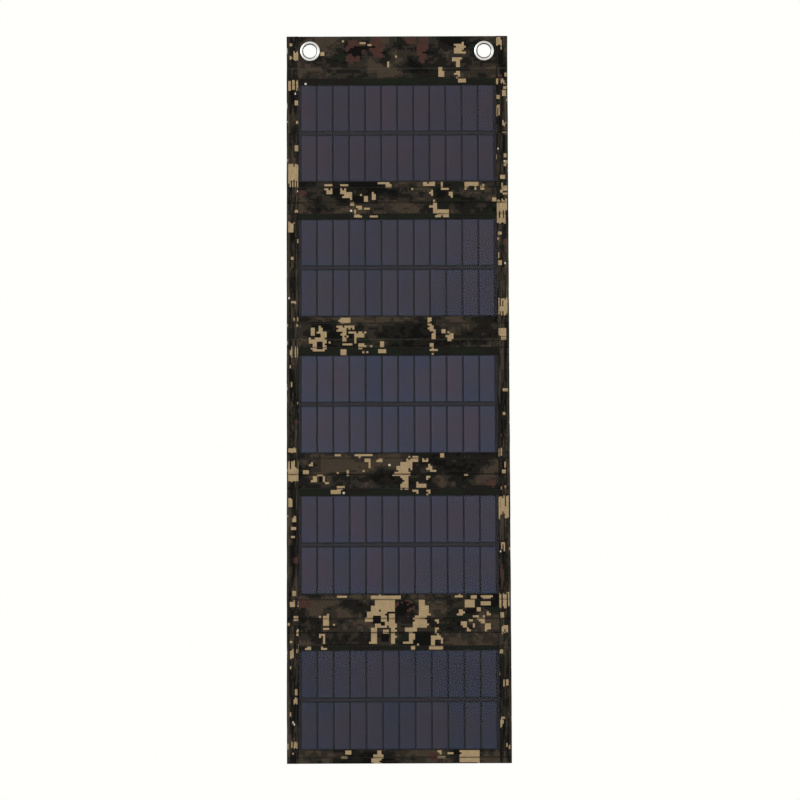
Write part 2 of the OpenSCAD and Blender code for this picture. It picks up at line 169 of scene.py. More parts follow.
# Glass-fibre board, pressed and painted a dark brown-grey: flat and dull, with faint specks.
board_finish = patterned("dark glass-fibre board, pressed", "TexNoise",
                         {"Scale": 1 / (1.5 * MM), "Detail": 4.0}, [(0.3, "#120e10"), (0.75, "#1a1517")],
                         {"Roughness": 0.6, "Specular IOR Level": 0.15}, bump=(0.2, 0.05 * MM))
for panel in PANELS:
    finish_node(f"panel_{panel}_board", board_finish)


# ---------------------------------------------------------------- solar cells
# Twenty-four cells on each board, two rows of twelve, each a ninth of a monocrystalline wafer.
# They are cut by laser, so their edges are straight, and joined by tabs into one chain.

CELL_PITCH = 17.9 * MM
ROW_PITCH = 56.0 * MM
FINGER_PITCH = 1.95 * MM


def cell_silicon(name, row_top, tints):
    """Monocrystalline silicon under a dark antireflection coat: blue-grey to purple-grey, a little
    different from cell to cell, with pale printed fingers and a pale cut edge down one side."""
    made = bare(name)
    place = add(made, "TexCoord").outputs["Object"]
    axes = add(made, "SeparateXYZ", {"Vector": place})
    along = add(made, "Math", {0: axes.outputs["X"], 1: CELL_PITCH}, operation="DIVIDE")
    column = add(made, "Math", {0: along.outputs[0]}, operation="FLOOR")
    across = add(made, "Math", {0: along.outputs[0]}, operation="FRACT")
    depth = add(made, "Math", {0: row_top, 1: axes.outputs["Z"]}, operation="SUBTRACT")
    rows = add(made, "Math", {0: depth.outputs[0], 1: ROW_PITCH}, operation="DIVIDE")
    row = add(made, "Math", {0: rows.outputs[0]}, operation="FLOOR")
    down = add(made, "Math", {0: rows.outputs[0]}, operation="FRACT")
    which = add(made, "CombineXYZ", {"X": column.outputs[0], "Y": row.outputs[0], "Z": row_top})
    sorting = add(made, "TexWhiteNoise", {"Vector": which.outputs[0]})
    clouds = add(made, "TexNoise", {"Vector": place, "Scale": 1 / (55 * MM), "Detail": 2.0})
    grain = add(made, "TexNoise", {"Vector": place, "Scale": 1 / (1.2 * MM), "Detail": 2.0})
    blend = add(made, "MixRGB", {"Fac": 0.66, "Color1": sorting.outputs["Value"],
                                 "Color2": clouds.outputs["Fac"]})
    body = add(made, "ValToRGB", {"Fac": blend.outputs[0]}, list(zip((0.25, 0.5, 0.75), tints)))
    teeth = add(made, "Math", {0: axes.outputs["X"], 1: FINGER_PITCH}, operation="DIVIDE")
    tooth = add(made, "Math", {0: teeth.outputs[0]}, operation="FRACT")
    finger = add(made, "ValToRGB", {"Fac": tooth.outputs[0]},
                 [(0.0, "#f4f4f4"), (0.15, "#ffffff"), (0.36, "#dfdfdf"), (1.0, "#e2e2e2")])
    edge = add(made, "ValToRGB", {"Fac": across.outputs[0]},
               [(0.054, "#030303"), (0.068, "#ffffff"), (0.130, "#e8e8e8"), (0.928, "#e2e2e2"),
                (0.946, "#030303")])
    ends = add(made, "ValToRGB", {"Fac": down.outputs[0]},
               [(0.012, "#3a3a3a"), (0.022, "#e6f2ff"), (0.16, "#efeaf2"), (0.45, "#f4e6e6"),
                (0.78, "#ece8f2"), (0.905, "#def0ff"), (0.917, "#3a3a3a")])
    toned = body.outputs[0]
    for layer in (finger, edge, ends):
        toned = add(made, "MixRGB", {"Fac": 1.0, "Color1": toned, "Color2": layer.outputs[0]},
                    blend_type="MULTIPLY").outputs[0]
    dust = add(made, "MixRGB", {"Fac": 0.12, "Color1": toned, "Color2": grain.outputs["Fac"]},
               blend_type="OVERLAY")
    rough = add(made, "MapRange", {"Value": grain.outputs["Fac"], "To Min": 0.32, "To Max": 0.46})
    bump = add(made, "Bump", {"Height": finger.outputs[0], "Strength": 0.1, "Distance": 0.03 * MM})
    shader = add(made, "BsdfPrincipled", {"Base Color": dust.outputs[0], "Roughness": rough.outputs[0],
                                          "Specular IOR Level": 0.18, "Normal": bump.outputs[0]})
    add(made, "OutputMaterial", {"Surface": shader.outputs[0]})
    return made


CELL_TINTS = {1: ("#413c4a", "#463f4b", "#4c414b"), 2: ("#404051", "#484553", "#4d4752"),
              3: ("#41475e", "#4e4c5d", "#554b5a"), 4: ("#3e4458", "#4a4757", "#504756"),
              5: ("#31384c", "#3e3e4e", "#463e4a")}
for panel in PANELS:
    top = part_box(f"panel_{panel}_cells")[1].z
    silicon = cell_silicon(f"monocrystalline silicon, panel {panel}", top, CELL_TINTS[panel])
    finish_node(f"panel_{panel}_cells", silicon)


# ---------------------------------------------------------------- tab and bus ribbons
# Flat copper ribbons, 0.1 mm thick, soldered behind the cells to join each to the next, with one bus
# ribbon between the two rows. They are lacquered nearly black, so that they don't glint in the window.

# Copper ribbon, rolled flat and lacquered: a dark warm brown with a satin, slightly wavy shine.
ribbon_finish = patterned("black-lacquered copper ribbon", "TexNoise",
                          {"Scale": 1 / (2.5 * MM), "Detail": 3.0}, [(0.3, "#171213"), (0.7, "#231c1d")],
                          {"Specular IOR Level": 0.25}, rough=(0.4, 0.55))
for panel in PANELS:
    finish_node(f"panel_{panel}_ribbons", ribbon_finish)


# ---------------------------------------------------------------- window film
# A clear fluoropolymer film, 0.2 mm thick, laminated over the cells of each panel.
# It is embossed with a fine grain, so it has a satin shine and shows the cells through it.

def satin_film():
    """Clear fluoropolymer film with an embossed grain: nearly invisible, with a soft satin shine."""
    made = bare("clear fluoropolymer film, embossed")
    place = add(made, "TexCoord").outputs["Object"]
    grain = add(made, "TexNoise", {"Vector": place, "Scale": 1 / (0.5 * MM)})
    rough = add(made, "MapRange", {"Value": grain.outputs["Fac"], "To Min": 0.26, "To Max": 0.42})
    sag = add(made, "TexNoise", {"Vector": place, "Scale": 1 / (45 * MM), "Detail": 1.0})
    wave = add(made, "Bump", {"Height": sag.outputs["Fac"], "Strength": 0.2, "Distance": 0.6 * MM})
    shader = add(made, "BsdfPrincipled", {"Base Color": linear("#7f8594"), "Roughness": rough.outputs[0],
                                          "Alpha": 0.03, "Normal": wave.outputs[0]})
    add(made, "OutputMaterial", {"Surface": shader.outputs[0]})
    return made


FILM_ABOVE_CELLS = 0.04 * MM


def new_piece(name, points, faces, *finishes):
    """A smooth piece at the origin from its points and faces, with its finishes."""
    mesh = bpy.data.meshes.new(name)
    mesh.from_pydata(points.reshape(-1, 3).tolist(), [], faces)
    mesh.polygons.foreach_set("use_smooth", np.ones(len(faces), bool))
    for finish in finishes:
        mesh.materials.append(finish)
    piece = bpy.data.objects.new(name, mesh)
    bpy.context.scene.collection.objects.link(piece)
    return piece


def grid_quads(rows, columns):
    """Quads of a grid of points numbered row by row: each joins a point to the ones below and beside."""
    at = np.arange(rows * columns).reshape(rows, columns)
    return np.stack([at[:-1, :-1], at[1:, :-1], at[1:, 1:], at[:-1, 1:]], -1).reshape(-1, 4)


def thicken(piece, name, thickness):
    """Solidify gives the piece a thickness, inwards from its face."""
    wall = piece.modifiers.new(name, "SOLIDIFY")
    wall.thickness = thickness
    wall.offset = -1


def laminated_film(panel, finish):
    """A panel's film: a flat sheet over the cells that dips by a bell curve into each gap between
    them, 0.03 mm deep at the columns and 0.05 mm at the row gap. Solidify closes it inwards."""
    low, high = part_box(f"panel_{panel}_film")
    near = np.array([-1.2, -0.7, -0.35, 0, 0.35, 0.7, 1.2]) * MM
    gaps = np.arange(-5, 6)[:, None] * CELL_PITCH + near[None, :]
    x_lines = np.concatenate([[low.x, low.x + MM], gaps.ravel(), [high.x - MM, high.x]])
    middle = (low.z + high.z) / 2
    steps = np.array([4, 3, 2, 1, 0, -1, -2, -3, -4]) * MM
    z_lines = np.concatenate([[high.z, high.z - MM], middle + steps, [low.z + MM, low.z]])
    x, z = np.meshgrid(x_lines, z_lines)
    column_gap = abs(x / CELL_PITCH - np.round(x / CELL_PITCH)) * CELL_PITCH
    dip = 0.03 * MM * np.exp(-(column_gap / (0.4 * MM)) ** 2)
    dip = np.maximum(dip, 0.05 * MM * np.exp(-((z - middle) / (1.6 * MM)) ** 2))
    points = np.stack([x, low.y + dip, z], -1)
    piece = new_piece(f"panel_{panel}_clear_film", points, grid_quads(*x.shape).tolist(), finish)
    thicken(piece, "film thickness", high.y - low.y - 0.05 * MM - FILM_ABOVE_CELLS)
    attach(piece, f"panel_{panel}")
    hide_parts(f"panel_{panel}_film")


film_finish = satin_film()
for panel in PANELS:
    laminated_film(panel, film_finish)


# ---------------------------------------------------------------- panel leads
# Two flat leads in a soft black jacket run behind the boards from panel to panel and through each
# fold, down to the regulator. They are taped to the boards before the cloths are sewn together.

# Flat lead with a soft PVC jacket, extruded: near-black and slightly shiny, with fine drag lines.
jacket_finish = patterned("black PVC lead jacket, extruded", "TexWave",
                          {"Scale": WAVE / (1.3 * MM), "Distortion": 0.6},
                          [(0.0, "#151515"), (1.0, "#202022")], {"Roughness": 0.45},
                          bump=(0.25, 0.1 * MM), bands_direction="X")
for name in [f"panel_{panel}_leads" for panel in PANELS] + ["spine_leads"]:
    finish_node(name, jacket_finish)


# ---------------------------------------------------------------- front cloth
# Printed polyester oxford cloth, 0.35 mm thick, in bands above and below each window.
# Each edge at a window is turned under and sewn down, and the cloth is creased where it folds.

CLOTH = 0.35 * MM
OVERLAP = 5.0 * MM              # a board reaches this far under the cloth beyond its window
HALF_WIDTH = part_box("panel_1_front_cloth")[1].x
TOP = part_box("header_front_cloth")[1].z
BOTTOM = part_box("panel_5_front_cloth")[0].z
BLOCKS_ACROSS = 112
BLOCK = 2 * HALF_WIDTH / BLOCKS_ACROSS      # the print's square spot, about 2.2 mm
BLOCKS_DOWN = math.ceil((TOP - BOTTOM) / BLOCK)
FOLD_REACH = 3.2 * MM           # cloth this far each side of a crease takes the bend

crease_at = {joint["name"]: joint["pos_m"][2] for joint in frame["joints"] if joint["type"] == "hinge"}
boards = [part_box(f"panel_{panel}_board") for panel in PANELS]
windows = [(high.z - OVERLAP, low.z + OVERLAP) for low, high in boards]
middles = [(top + bottom) / 2 for top, bottom in windows]
spine_middle = (crease_at["wrap_fold_upper"] + crease_at["wrap_fold_lower"]) / 2

# Each span of cloth crosses one crease, and is listed with the two bodies that the crease joins.
SPANS = [
    ("header", TOP, middles[0], "header", "panel_1", crease_at["header_fold"]),
    ("fold_1", middles[0], middles[1], "panel_1", "panel_2", crease_at["fold_1"]),
    ("fold_2", middles[1], middles[2], "panel_2", "panel_3", crease_at["fold_2"]),
    ("fold_3", middles[2], middles[3], "panel_3", "panel_4", crease_at["fold_3"]),
    ("spine_top", middles[3], spine_middle, "panel_4", "wrap_spine", crease_at["wrap_fold_upper"]),
    ("spine_foot", spine_middle, BOTTOM, "wrap_spine", "panel_5", crease_at["wrap_fold_lower"]),
]
MOUNTAINS = (crease_at["header_fold"], crease_at["fold_2"])
VALLEYS = tuple(crease_at[name] for name in ("fold_1", "fold_3", "wrap_fold_upper", "wrap_fold_lower"))

# The seams lie this far above and below each window.
SEAM_ABOVE = [7.6 * MM, 5.7 * MM, 8.6 * MM, 7.7 * MM, 4.4 * MM]
SEAM_BELOW = [6.5 * MM, 7.6 * MM, 5.5 * MM, 5.7 * MM, 8.4 * MM]
SEAMS = [window[0] + gap for window, gap in zip(windows, SEAM_ABOVE)]
SEAMS += [window[1] - gap for window, gap in zip(windows, SEAM_BELOW)]


def smooth(low, high, value):
    """Smoothstep: 0 below low, 1 above high, and 3 t t - 2 t t t between them."""
    share = np.clip((value - low) / (high - low), 0, 1)
    return share * share * (3 - 2 * share)


def bell(value, width):
    """A bell curve, e to the minus (value / width) squared."""
    return np.exp(-(value / width) ** 2)


NOISE_GRID = 512


def drift(at, down, size, seed):
    """Value noise from -1 to 1: seeded random numbers on a grid, size apart, blended by smoothstep."""
    dice = np.random.default_rng(seed).uniform(-1, 1, (NOISE_GRID, NOISE_GRID))
    across, below = np.asarray(at) / size[0], np.asarray(down) / size[1]
    column, row = np.floor(across).astype(int), np.floor(below).astype(int)
    right, under = smooth(0, 1, across - column), smooth(0, 1, below - row)
    here, next_one = column % NOISE_GRID, (column + 1) % NOISE_GRID
    upper, lower = (dice[level, here] * (1 - right) + dice[level, next_one] * right
                    for level in (row % NOISE_GRID, (row + 1) % NOISE_GRID))
    return upper * (1 - under) + lower * under


def from_window(z):
    """Distance up or down to the nearest window's edge, and 0 beside a window."""
    gaps = [np.maximum(np.maximum(z - top, bottom - z), 0) for top, bottom in windows]
    return np.min(gaps, axis=0)


def cloth_level(z, between, over_boards):
    """How far a cloth's face lies from the middle plane: a distance between the boards, some more over
    them, and 0.8 mm on the header, with smoothsteps from one to the next."""
    over = 1 - smooth(OVERLAP, OVERLAP + 6 * MM, from_window(z))
    rise = smooth(crease_at["header_fold"] - 5 * MM, crease_at["header_fold"] + 4 * MM, z)
    return ((between + over_boards * over) * (1 - rise) + 0.8 * rise) * MM


def front_level(z):
    """Depth of the front cloth's face: 1.15 mm out between the boards and 1.65 mm over them."""
    return -cloth_level(z, 1.15, 0.5)


def back_level(z):
    """Depth of the back cloth's face: 0.95 mm between the boards and 1.15 mm over them."""
    return cloth_level(z, 0.95, 0.2)


def sewn_relief(x, z):
    """How far sewing and folding push a cloth inwards: a bell-shaped groove at each seam, puckers that
    fade away from it, a groove at each valley crease, a ridge at each mountain crease, soft waves."""
    relief = np.zeros(np.broadcast(x, z).shape)
    for order, seam in enumerate(SEAMS):
        pucker = drift(x + 0 * z, 0 * x + z, (3.1 * MM, 9 * MM), 20 + order)
        relief = relief + 0.26 * MM * bell(z - seam, 0.75 * MM)
        relief = relief + 0.10 * MM * pucker * bell(z - seam, 3.5 * MM)
    for crease in VALLEYS:
        off = z - crease
        wander = 0.35 * MM * drift(x, 0 * x, (30 * MM, 1), 50)
        relief = relief + 0.34 * MM * bell(off - wander, 0.9 * MM) - 0.10 * MM * bell(off, 3.5 * MM)
    for crease in MOUNTAINS:
        relief = relief - 0.22 * MM * bell(z - crease, 1.3 * MM)
    loose = smooth(OVERLAP, OVERLAP + 4 * MM, from_window(z))
    waves = drift(x, z, (34 * MM, 11 * MM), 60) + 0.5 * drift(x, z, (13 * MM, 6 * MM), 61)
    return relief + 0.2 * MM * waves * loose


def front_face(x, z):
    """Depth of the front cloth's face, with its relief."""
    return front_level(z) + sewn_relief(x, z)


# The print's colours, in the order of its spots' numbers.
PRINT_COLOURS = ["#080705", "#191612", "#2d2821", "#40372c", "#452e28", "#171c13", "#a48e6c", "#d2c8b8"]
NIGHT, COAL, OLIVE, BROWN, RUST, MOSS, TAN, PALE = range(8)

# Tan patches of the front cloth: middle across, middle down from the eyelets, width and height in mm.
TAN_PATCHES = [
    (-84, -3, 4, 6), (-38, 8, 7, 2), (-31, 7, 3, 2), (-10, -15, 2, 7), (49, -25, 8, 9), (49, -20, 4, 4),
    (69, 3, 9, 11), (70, 10, 2, 6), (66, -10, 8, 4), (67, -15, 4, 8), (68, -27, 6, 9), (72, -33, 8, 4),
    (-76, -151, 9, 4), (-76, -158, 7, 6), (-60, -151, 9, 4), (-60, -157, 7, 6), (-54, -162, 9, 6),
    (-40, -162, 4, 4), (-35, -166, 5, 6), (-27, -164, 4, 8), (-15, -149, 14, 2), (-9, -152, 7, 5),
    (35, -150, 14, 4), (38, -159, 2, 7), (49, -152, 2, 7), (53, -156, 7, 2), (59, -160, 5, 4),
    (82, -150, 15, 4), (77, -155, 4, 4), (87, -155, 2, 4), (95, -155, 4, 4), (108, -167, 5, 4),
    (42, -174, 4, 8), (37, -176, 6, 2), (48, -180, 16, 4), (51, -185, 14, 4), (-51, -172, 4, 4),
    (-48, -183, 2, 9), (-43, -187, 8, 2), (-34, -178, 6, 2), (-26, -186, 8, 4), (-42, -175, 6, 2),
    (-95, -314, 4, 9), (-86, -313, 4, 7), (-83, -318, 9, 7), (-94, -325, 8, 4), (-86, -323, 11, 4),
    (-92, -331, 4, 9), (-81, -329, 5, 11), (-87, -335, 13, 4), (-58, -302, 9, 8), (-58, -308, 20, 2),
    (-61, -311, 8, 6), (-59, -322, 4, 17), (-56, -328, 7, 2), (-60, -337, 6, 5), (-44, -316, 20, 2),
    (-43, -319, 10, 5), (-48, -324, 2, 7), (-40, -330, 7, 6), (-36, -337, 6, 2), (-17, -328, 5, 7),
    (-18, -337, 9, 4), (35, -302, 5, 8), (36, -310, 6, 9), (39, -318, 5, 10), (37, -330, 4, 7),
    (39, -336, 9, 2), (50, -314, 5, 3), (57, -321, 6, 9), (61, -319, 2, 6),
    (-39, -451, 20, 4), (-34, -456, 7, 5), (-31, -462, 2, 6), (-66, -451, 6, 4), (-21, -456, 5, 4),
    (18, -453, 7, 3), (15, -457, 13, 5), (9, -462, 12, 6), (4, -467, 12, 6), (3, -472, 19, 4),
    (7, -477, 9, 5), (8, -482, 4, 5), (6, -486, 9, 5), (30, -457, 6, 4), (35, -466, 5, 4), (38, -469, 6, 2),
    (32, -477, 4, 4), (25, -485, 10, 4), (33, -491, 4, 4), (20, -492, 4, 4), (48, -451, 6, 5),
    (75, -474, 4, 2), (-101, -470, 7, 4), (-96, -461, 2, 5), (-92, -478, 3, 6), (-83, -478, 3, 6),
    (-87, -473, 6, 2), (-79, -482, 4, 2), (-56, -471, 4, 5), (-65, -487, 6, 3), (-68, -491, 11, 4),
    (-15, -607, 33, 4), (-15, -613, 22, 5), (-18, -620, 26, 8), (-24, -629, 22, 10), (-15, -637, 24, 6),
    (-7, -633, 7, 16), (-27, -648, 8, 15), (-29, -656, 6, 5), (-7, -650, 5, 18), (-14, -645, 5, 4),
    (25, -613, 8, 7), (27, -622, 11, 10), (25, -631, 13, 9), (23, -638, 15, 7), (14, -642, 13, 4),
    (15, -650, 6, 13), (15, -662, 4, 4), (9, -656, 8, 2), (42, -651, 12, 5), (37, -656, 4, 7),
    (47, -656, 4, 6), (41, -662, 15, 4), (42, -642, 5, 4), (42, -633, 5, 3), (-80, -633, 7, 9),
    (-78, -627, 2, 5), (-79, -641, 6, 3), (-84, -649, 8, 4), (-82, -655, 4, 7), (-82, -663, 5, 3),
    (-100, -662, 7, 4), (78, -614, 11, 8), (68, -624, 6, 5), (88, -621, 5, 6), (95, -608, 11, 5),
    (96, -614, 11, 6), (82, -608, 6, 3), (66, -606, 9, 2), (84, -628, 6, 3), (91, -633, 8, 6),
    (97, -639, 6, 6), (73, -638, 4, 6), (82, -639, 4, 4), (79, -633, 3, 3), (77, -643, 4, 2),
    (82, -646, 4, 2), (98, -626, 5, 2), (-62, -606, 11, 3), (-9, -608, 4, 4),
    (-56, -777, 7, 4), (-60, -782, 8, 3), (-22, -777, 5, 5), (-23, -781, 10, 3), (-25, -786, 12, 5),
    (45, -777, 4, 5), (46, -782, 8, 2), (56, -777, 5, 3), (76, -781, 22, 13),
]
# Dark holes in them, and the rust-brown clouds, in the same way.
DARK_HOLES = [(-87, -319, 5, 4), (-87, -328, 5, 3), (-24, -631, 7, 9), (-17, -636, 5, 4), (41, -659, 5, 3),
              (92, -154, 2, 6), (-86, -478, 5, 6), (-15, -652, 8, 8), (-21, -622, 2, 2)]
RUST_CLOUDS = [(-48, -2, 22, 30), (-22, 4, 15, 24), (28, 2, 12, 30), (-103, -614, 14, 12),
               (6, -616, 22, 13), (102, -482, 13, 10), (-105, -160, 8, 6), (37, -781, 9, 11),
               (15, 12, 14, 8)]


def spot_numbers(seed, wide, down, patches=(), holes=(), clouds=()):
    """Numbers of the print's spots, row by row: three sizes of value noise are added, with a little
    random number for each spot, and cut at fixed heights into five dark colours. Patches cover them."""
    dice = np.random.default_rng(seed)
    row, column = np.mgrid[0:down, 0:wide]
    mix = drift(column, row, (17, 9), seed + 1) + 0.7 * drift(column, row, (7, 4), seed + 2)
    mix = mix + 0.5 * drift(column, row, (2.6, 1.6), seed + 3) + 0.12 * dice.uniform(-1, 1, (down, wide))
    cuts = np.quantile(mix, [0.17, 0.54, 0.84])
    numbers = np.choose(np.digitize(mix, cuts), [NIGHT, COAL, OLIVE, BROWN])
    green = drift(column, row, (13, 5), seed + 4) + 0.4 * drift(column, row, (3, 2), seed + 5)
    numbers[(green > 0.62) & (numbers <= COAL)] = MOSS
    x = (column + 0.5) * BLOCK / MM - HALF_WIDTH / MM
    z = TOP / MM - (row + 0.5) * BLOCK / MM
    edge = 0.5 * drift(column, row, (2.2, 2.2), seed + 6) + 0.3 * drift(column, row, (5, 5), seed + 7)
    for middle, level, width, height in clouds:
        near = ((x - middle) / width * 2) ** 2 + ((z - level) / height * 2) ** 2
        numbers[(near + edge < 1) & (numbers != NIGHT)] = RUST
    tan, dark = np.zeros((down, wide), bool), np.zeros((down, wide), bool)
    for group, cover in ((patches, tan), (holes, dark)):
        for middle, level, width, height in group:
            cover |= (abs(x - middle) <= width / 2) & (abs(z - level) <= height / 2)
    # A patch's outline is ragged: some spots next to it are tan too, and some at its edge aren't.
    beside = sum(np.roll(tan, *way).astype(int) for way in ((1, 0), (-1, 0), (1, 1), (-1, 1)))
    ragged = dice.uniform(0, 1, (down, wide))
    tan = (tan & ~((beside < 4) & (ragged < 0.06))) | (~tan & (beside > 0) & (ragged > 0.95))
    numbers[tan], numbers[dark] = TAN, NIGHT
    specks = dice.uniform(0, 1, (down, wide))
    numbers[specks < 0.0002] = PALE
    numbers[specks > 0.9986] = TAN
    return numbers


def rows_between(top, bottom, fine):
    """Heights of a cloth's rows: the edges of the print's spots, both ends, half spots, and rows a given
    step apart round each fine place (height, reach, step)."""
    spots = TOP - np.arange(0, 2 * BLOCKS_DOWN + 2) * BLOCK / 2
    places = [spots, [top, bottom]]
    for level, reach, step in fine:
        places.append(level + np.arange(-reach, reach + step / 2, step))
    heights = np.unique(np.round(np.concatenate(places), 6))[::-1]
    heights = heights[(heights <= top + 1e-7) & (heights >= bottom - 1e-7)]
    kept = np.concatenate([[True], np.diff(-heights) > 0.08 * MM])
    kept[-1] = True
    return heights[kept]


def set_print(mesh, spots):
    """Stores each quad's colour: its spot's number, put in the middle of its share of 0 to 1."""
    share = np.repeat((spots + 0.5) / len(PRINT_COLOURS), 4).astype(np.float32)
    mesh.attributes.new("spot", "FLOAT", "CORNER").data.foreach_set("value", share)


def store_wear_and_painted_light(mesh, wear_and_painted_light_values):
    """Stores how much each point is rubbed pale or painted with a highlight, and below 0 how much painted
    shade it has.
    """
    mesh.attributes.new("wear_and_painted_light", "FLOAT", "POINT").data.foreach_set("value", wear_and_painted_light_values.astype(np.float32).ravel())


def woven_piece(name, points, uv, finish, spots=None, wear_and_painted_light_values=None, keep=None, thickness=CLOTH):
    """A cloth piece from a grid of points: each quad joins four neighbours, spots gives each quad the
    number of its colour, the stored values give each point its rubbing, its painted shade and its painted
    highlight, and Solidify gives it its thickness inwards."""
    quads = grid_quads(*points.shape[:2])
    if keep is not None:
        quads = quads[keep.ravel()]
    piece = new_piece(name, points, quads.tolist(), finish)
    mesh = piece.data
    layer = mesh.uv_layers.new(name="cloth")
    layer.data.foreach_set("uv", uv.reshape(-1, 2)[quads].astype(np.float32).ravel())
    if spots is not None:
        set_print(mesh, spots.ravel() if keep is None else spots.ravel()[keep.ravel()])
        store_wear_and_painted_light(mesh, wear_and_painted_light_values)
    thicken(piece, "cloth thickness", thickness)
    return piece


def printed_oxford(name, stretch=1.0):
    """Polyester oxford cloth, woven from flat yarn and printed in square spots: dull, with a faint sheen.
    Threads are 0.5 mm apart, drawn 0.8 mm apart so that they show. Creases are rubbed paler where a stored
    value is above 0, which also gives a painted highlight along the tapes' folds; below 0 it gives painted
    shade in grooves, seams and at window edges."""
    made = bare(name)
    flat = add(made, "UVMap", uv_map="cloth").outputs["UV"]
    spot = add(made, "Attribute", attribute_name="spot").outputs["Fac"]
    wear_and_painted_light_values = add(made, "Attribute", attribute_name="wear_and_painted_light").outputs["Fac"]
    stops = [(number / len(PRINT_COLOURS), code) for number, code in enumerate(PRINT_COLOURS)]
    colours = add(made, "ValToRGB", {"Fac": spot}, stops)
    colours.color_ramp.interpolation = "CONSTANT"
    mottle = add(made, "TexNoise", {"Vector": flat, "Scale": 1 / (7 * MM), "Detail": 4.0, "Roughness": 0.6})
    bolt = add(made, "Mapping", {"Vector": flat, "Scale": (1.0, 1 / stretch, 1.0)})
    slub = add(made, "TexNoise", {"Vector": bolt.outputs[0], "Scale": 1 / (1.1 * MM), "Detail": 2.0})
    light = add(made, "MapRange", {"Value": mottle.outputs["Fac"], "From Min": 0.3, "From Max": 0.7,
                                   "To Min": 0.42, "To Max": 0.58})
    toned = add(made, "MixRGB", {"Fac": 0.7, "Color1": colours.outputs[0], "Color2": light.outputs[0]},
                blend_type="OVERLAY")
    thread = add(made, "MixRGB", {"Fac": 0.45, "Color1": toned.outputs[0], "Color2": slub.outputs["Fac"]},
                 blend_type="OVERLAY")
    # Above 0 the stored value pales the cloth: rubbing on the mountain creases and the pouch's rim, and a
    # painted highlight along the edge tapes' folds.
    pale_rub_and_highlight = add(made, "Math", {0: wear_and_painted_light_values, 1: slub.outputs["Fac"]}, operation="MULTIPLY", use_clamp=True)
    rubbed_pale_and_highlit = add(made, "MixRGB", {"Fac": pale_rub_and_highlight.outputs[0], "Color1": thread.outputs[0],
                                 "Color2": linear("#6b6454")})
    # Painted shade: below 0 the stored value mixes the colour towards near-black, in grooves, seams and at
    # window edges.
    painted_shade_amount = add(made, "Math", {0: wear_and_painted_light_values, 1: -0.9}, operation="MULTIPLY", use_clamp=True)
    with_painted_shade = add(made, "MixRGB", {"Fac": painted_shade_amount.outputs[0], "Color1": rubbed_pale_and_highlit.outputs[0],
                                  "Color2": linear("#0b0907")})
    axes = add(made, "SeparateXYZ", {"Vector": flat})
    waves = []
    for axis in ("X", "Y"):
        turn = add(made, "Math", {0: axes.outputs[axis], 1: math.pi / (0.8 * MM)}, operation="MULTIPLY")
        waves.append(add(made, "Math", {0: turn.outputs[0]}, operation="SINE"))
    over = add(made, "Math", {0: waves[0].outputs[0], 1: waves[1].outputs[0]}, operation="MULTIPLY")
    weave = add(made, "Bump", {"Height": over.outputs[0], "Strength": 0.35, "Distance": 0.1 * MM})
    crumple = add(made, "Bump", {"Height": mottle.outputs["Fac"], "Normal": weave.outputs[0],
                                 "Strength": 0.4, "Distance": 0.5 * MM})
    shader = add(made, "BsdfPrincipled", {"Base Color": with_painted_shade.outputs[0], "Roughness": 0.78,
                                          "Normal": crumple.outputs[0], "Sheen Weight": 0.02,
                                          "Sheen Roughness": 0.5, "Specular IOR Level": 0.1})
    add(made, "OutputMaterial", {"Surface": shader.outputs[0]})
    return made


def bend_over(piece):
    """Bakes the piece's transform into its mesh."""
    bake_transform(piece)


def wear_and_painted_shade_of(x, z):
    """How much the cloth is rubbed pale, on the ridges of its creases, and below 0 how much painted shade
    darkens it, in its grooves, its seams and along the window edges."""
    rub_and_painted_light_amount = sum(0.5 * bell(z - crease, 0.6 * MM) for crease in MOUNTAINS)
    # Painted shade: the valley creases, the seams and the window edges are darkened in colour.
    rub_and_painted_light_amount = rub_and_painted_light_amount - sum(1.3 * bell(z - crease, 0.8 * MM) for crease in VALLEYS)
    rub_and_painted_light_amount = rub_and_painted_light_amount - sum(1.2 * bell(z - seam, 0.7 * MM) for seam in SEAMS)
    rub_and_painted_light_amount = rub_and_painted_light_amount - sum(0.7 * bell(z - edge, 0.6 * MM) for window in windows for edge in window)
    return rub_and_painted_light_amount * (0.65 + 0.35 * drift(x, z, (9 * MM, 3 * MM), 71))


cloth_finish = printed_oxford("printed polyester oxford, woven")
front_spots = spot_numbers(7, BLOCKS_ACROSS, BLOCKS_DOWN, TAN_PATCHES, DARK_HOLES, RUST_CLOUDS)
spot_row, spot_column = np.mgrid[0:BLOCKS_DOWN, 0:BLOCKS_ACROSS]
spot_z = TOP - (spot_row + 0.5) * BLOCK
# The cloth turned under above each window is darker and greener, as its dye took there.
turned = sum(((spot_z > top) & (spot_z < top + gap)).astype(int)
             for (top, bottom), gap in zip(windows, SEAM_ABOVE)) > 0
green = drift(spot_column, spot_row, (9, 3), 33) > -0.15
front_spots[turned & green & (front_spots <= BROWN)] = MOSS
front_spots[turned & ~green & (front_spots <= BROWN)] = COAL
columns = np.arange(2 * BLOCKS_ACROSS + 1) * BLOCK / 2 - HALF_WIDTH
columns = np.unique(np.clip(columns, -HALF_WIDTH, HALF_WIDTH))
FINE_CREASE = (FOLD_REACH + 0.8 * MM, 0.5 * MM)
fine_places = [(crease, *FINE_CREASE) for crease in MOUNTAINS + VALLEYS]
fine_places += [(seam, 1.6 * MM, 0.4 * MM) for seam in SEAMS]
fine_places += [(edge, 1.0 * MM, 0.25 * MM) for window in windows for edge in window]
fine_places += [(TOP, 1.0 * MM, 0.25 * MM), (BOTTOM, 1.0 * MM, 0.25 * MM)]


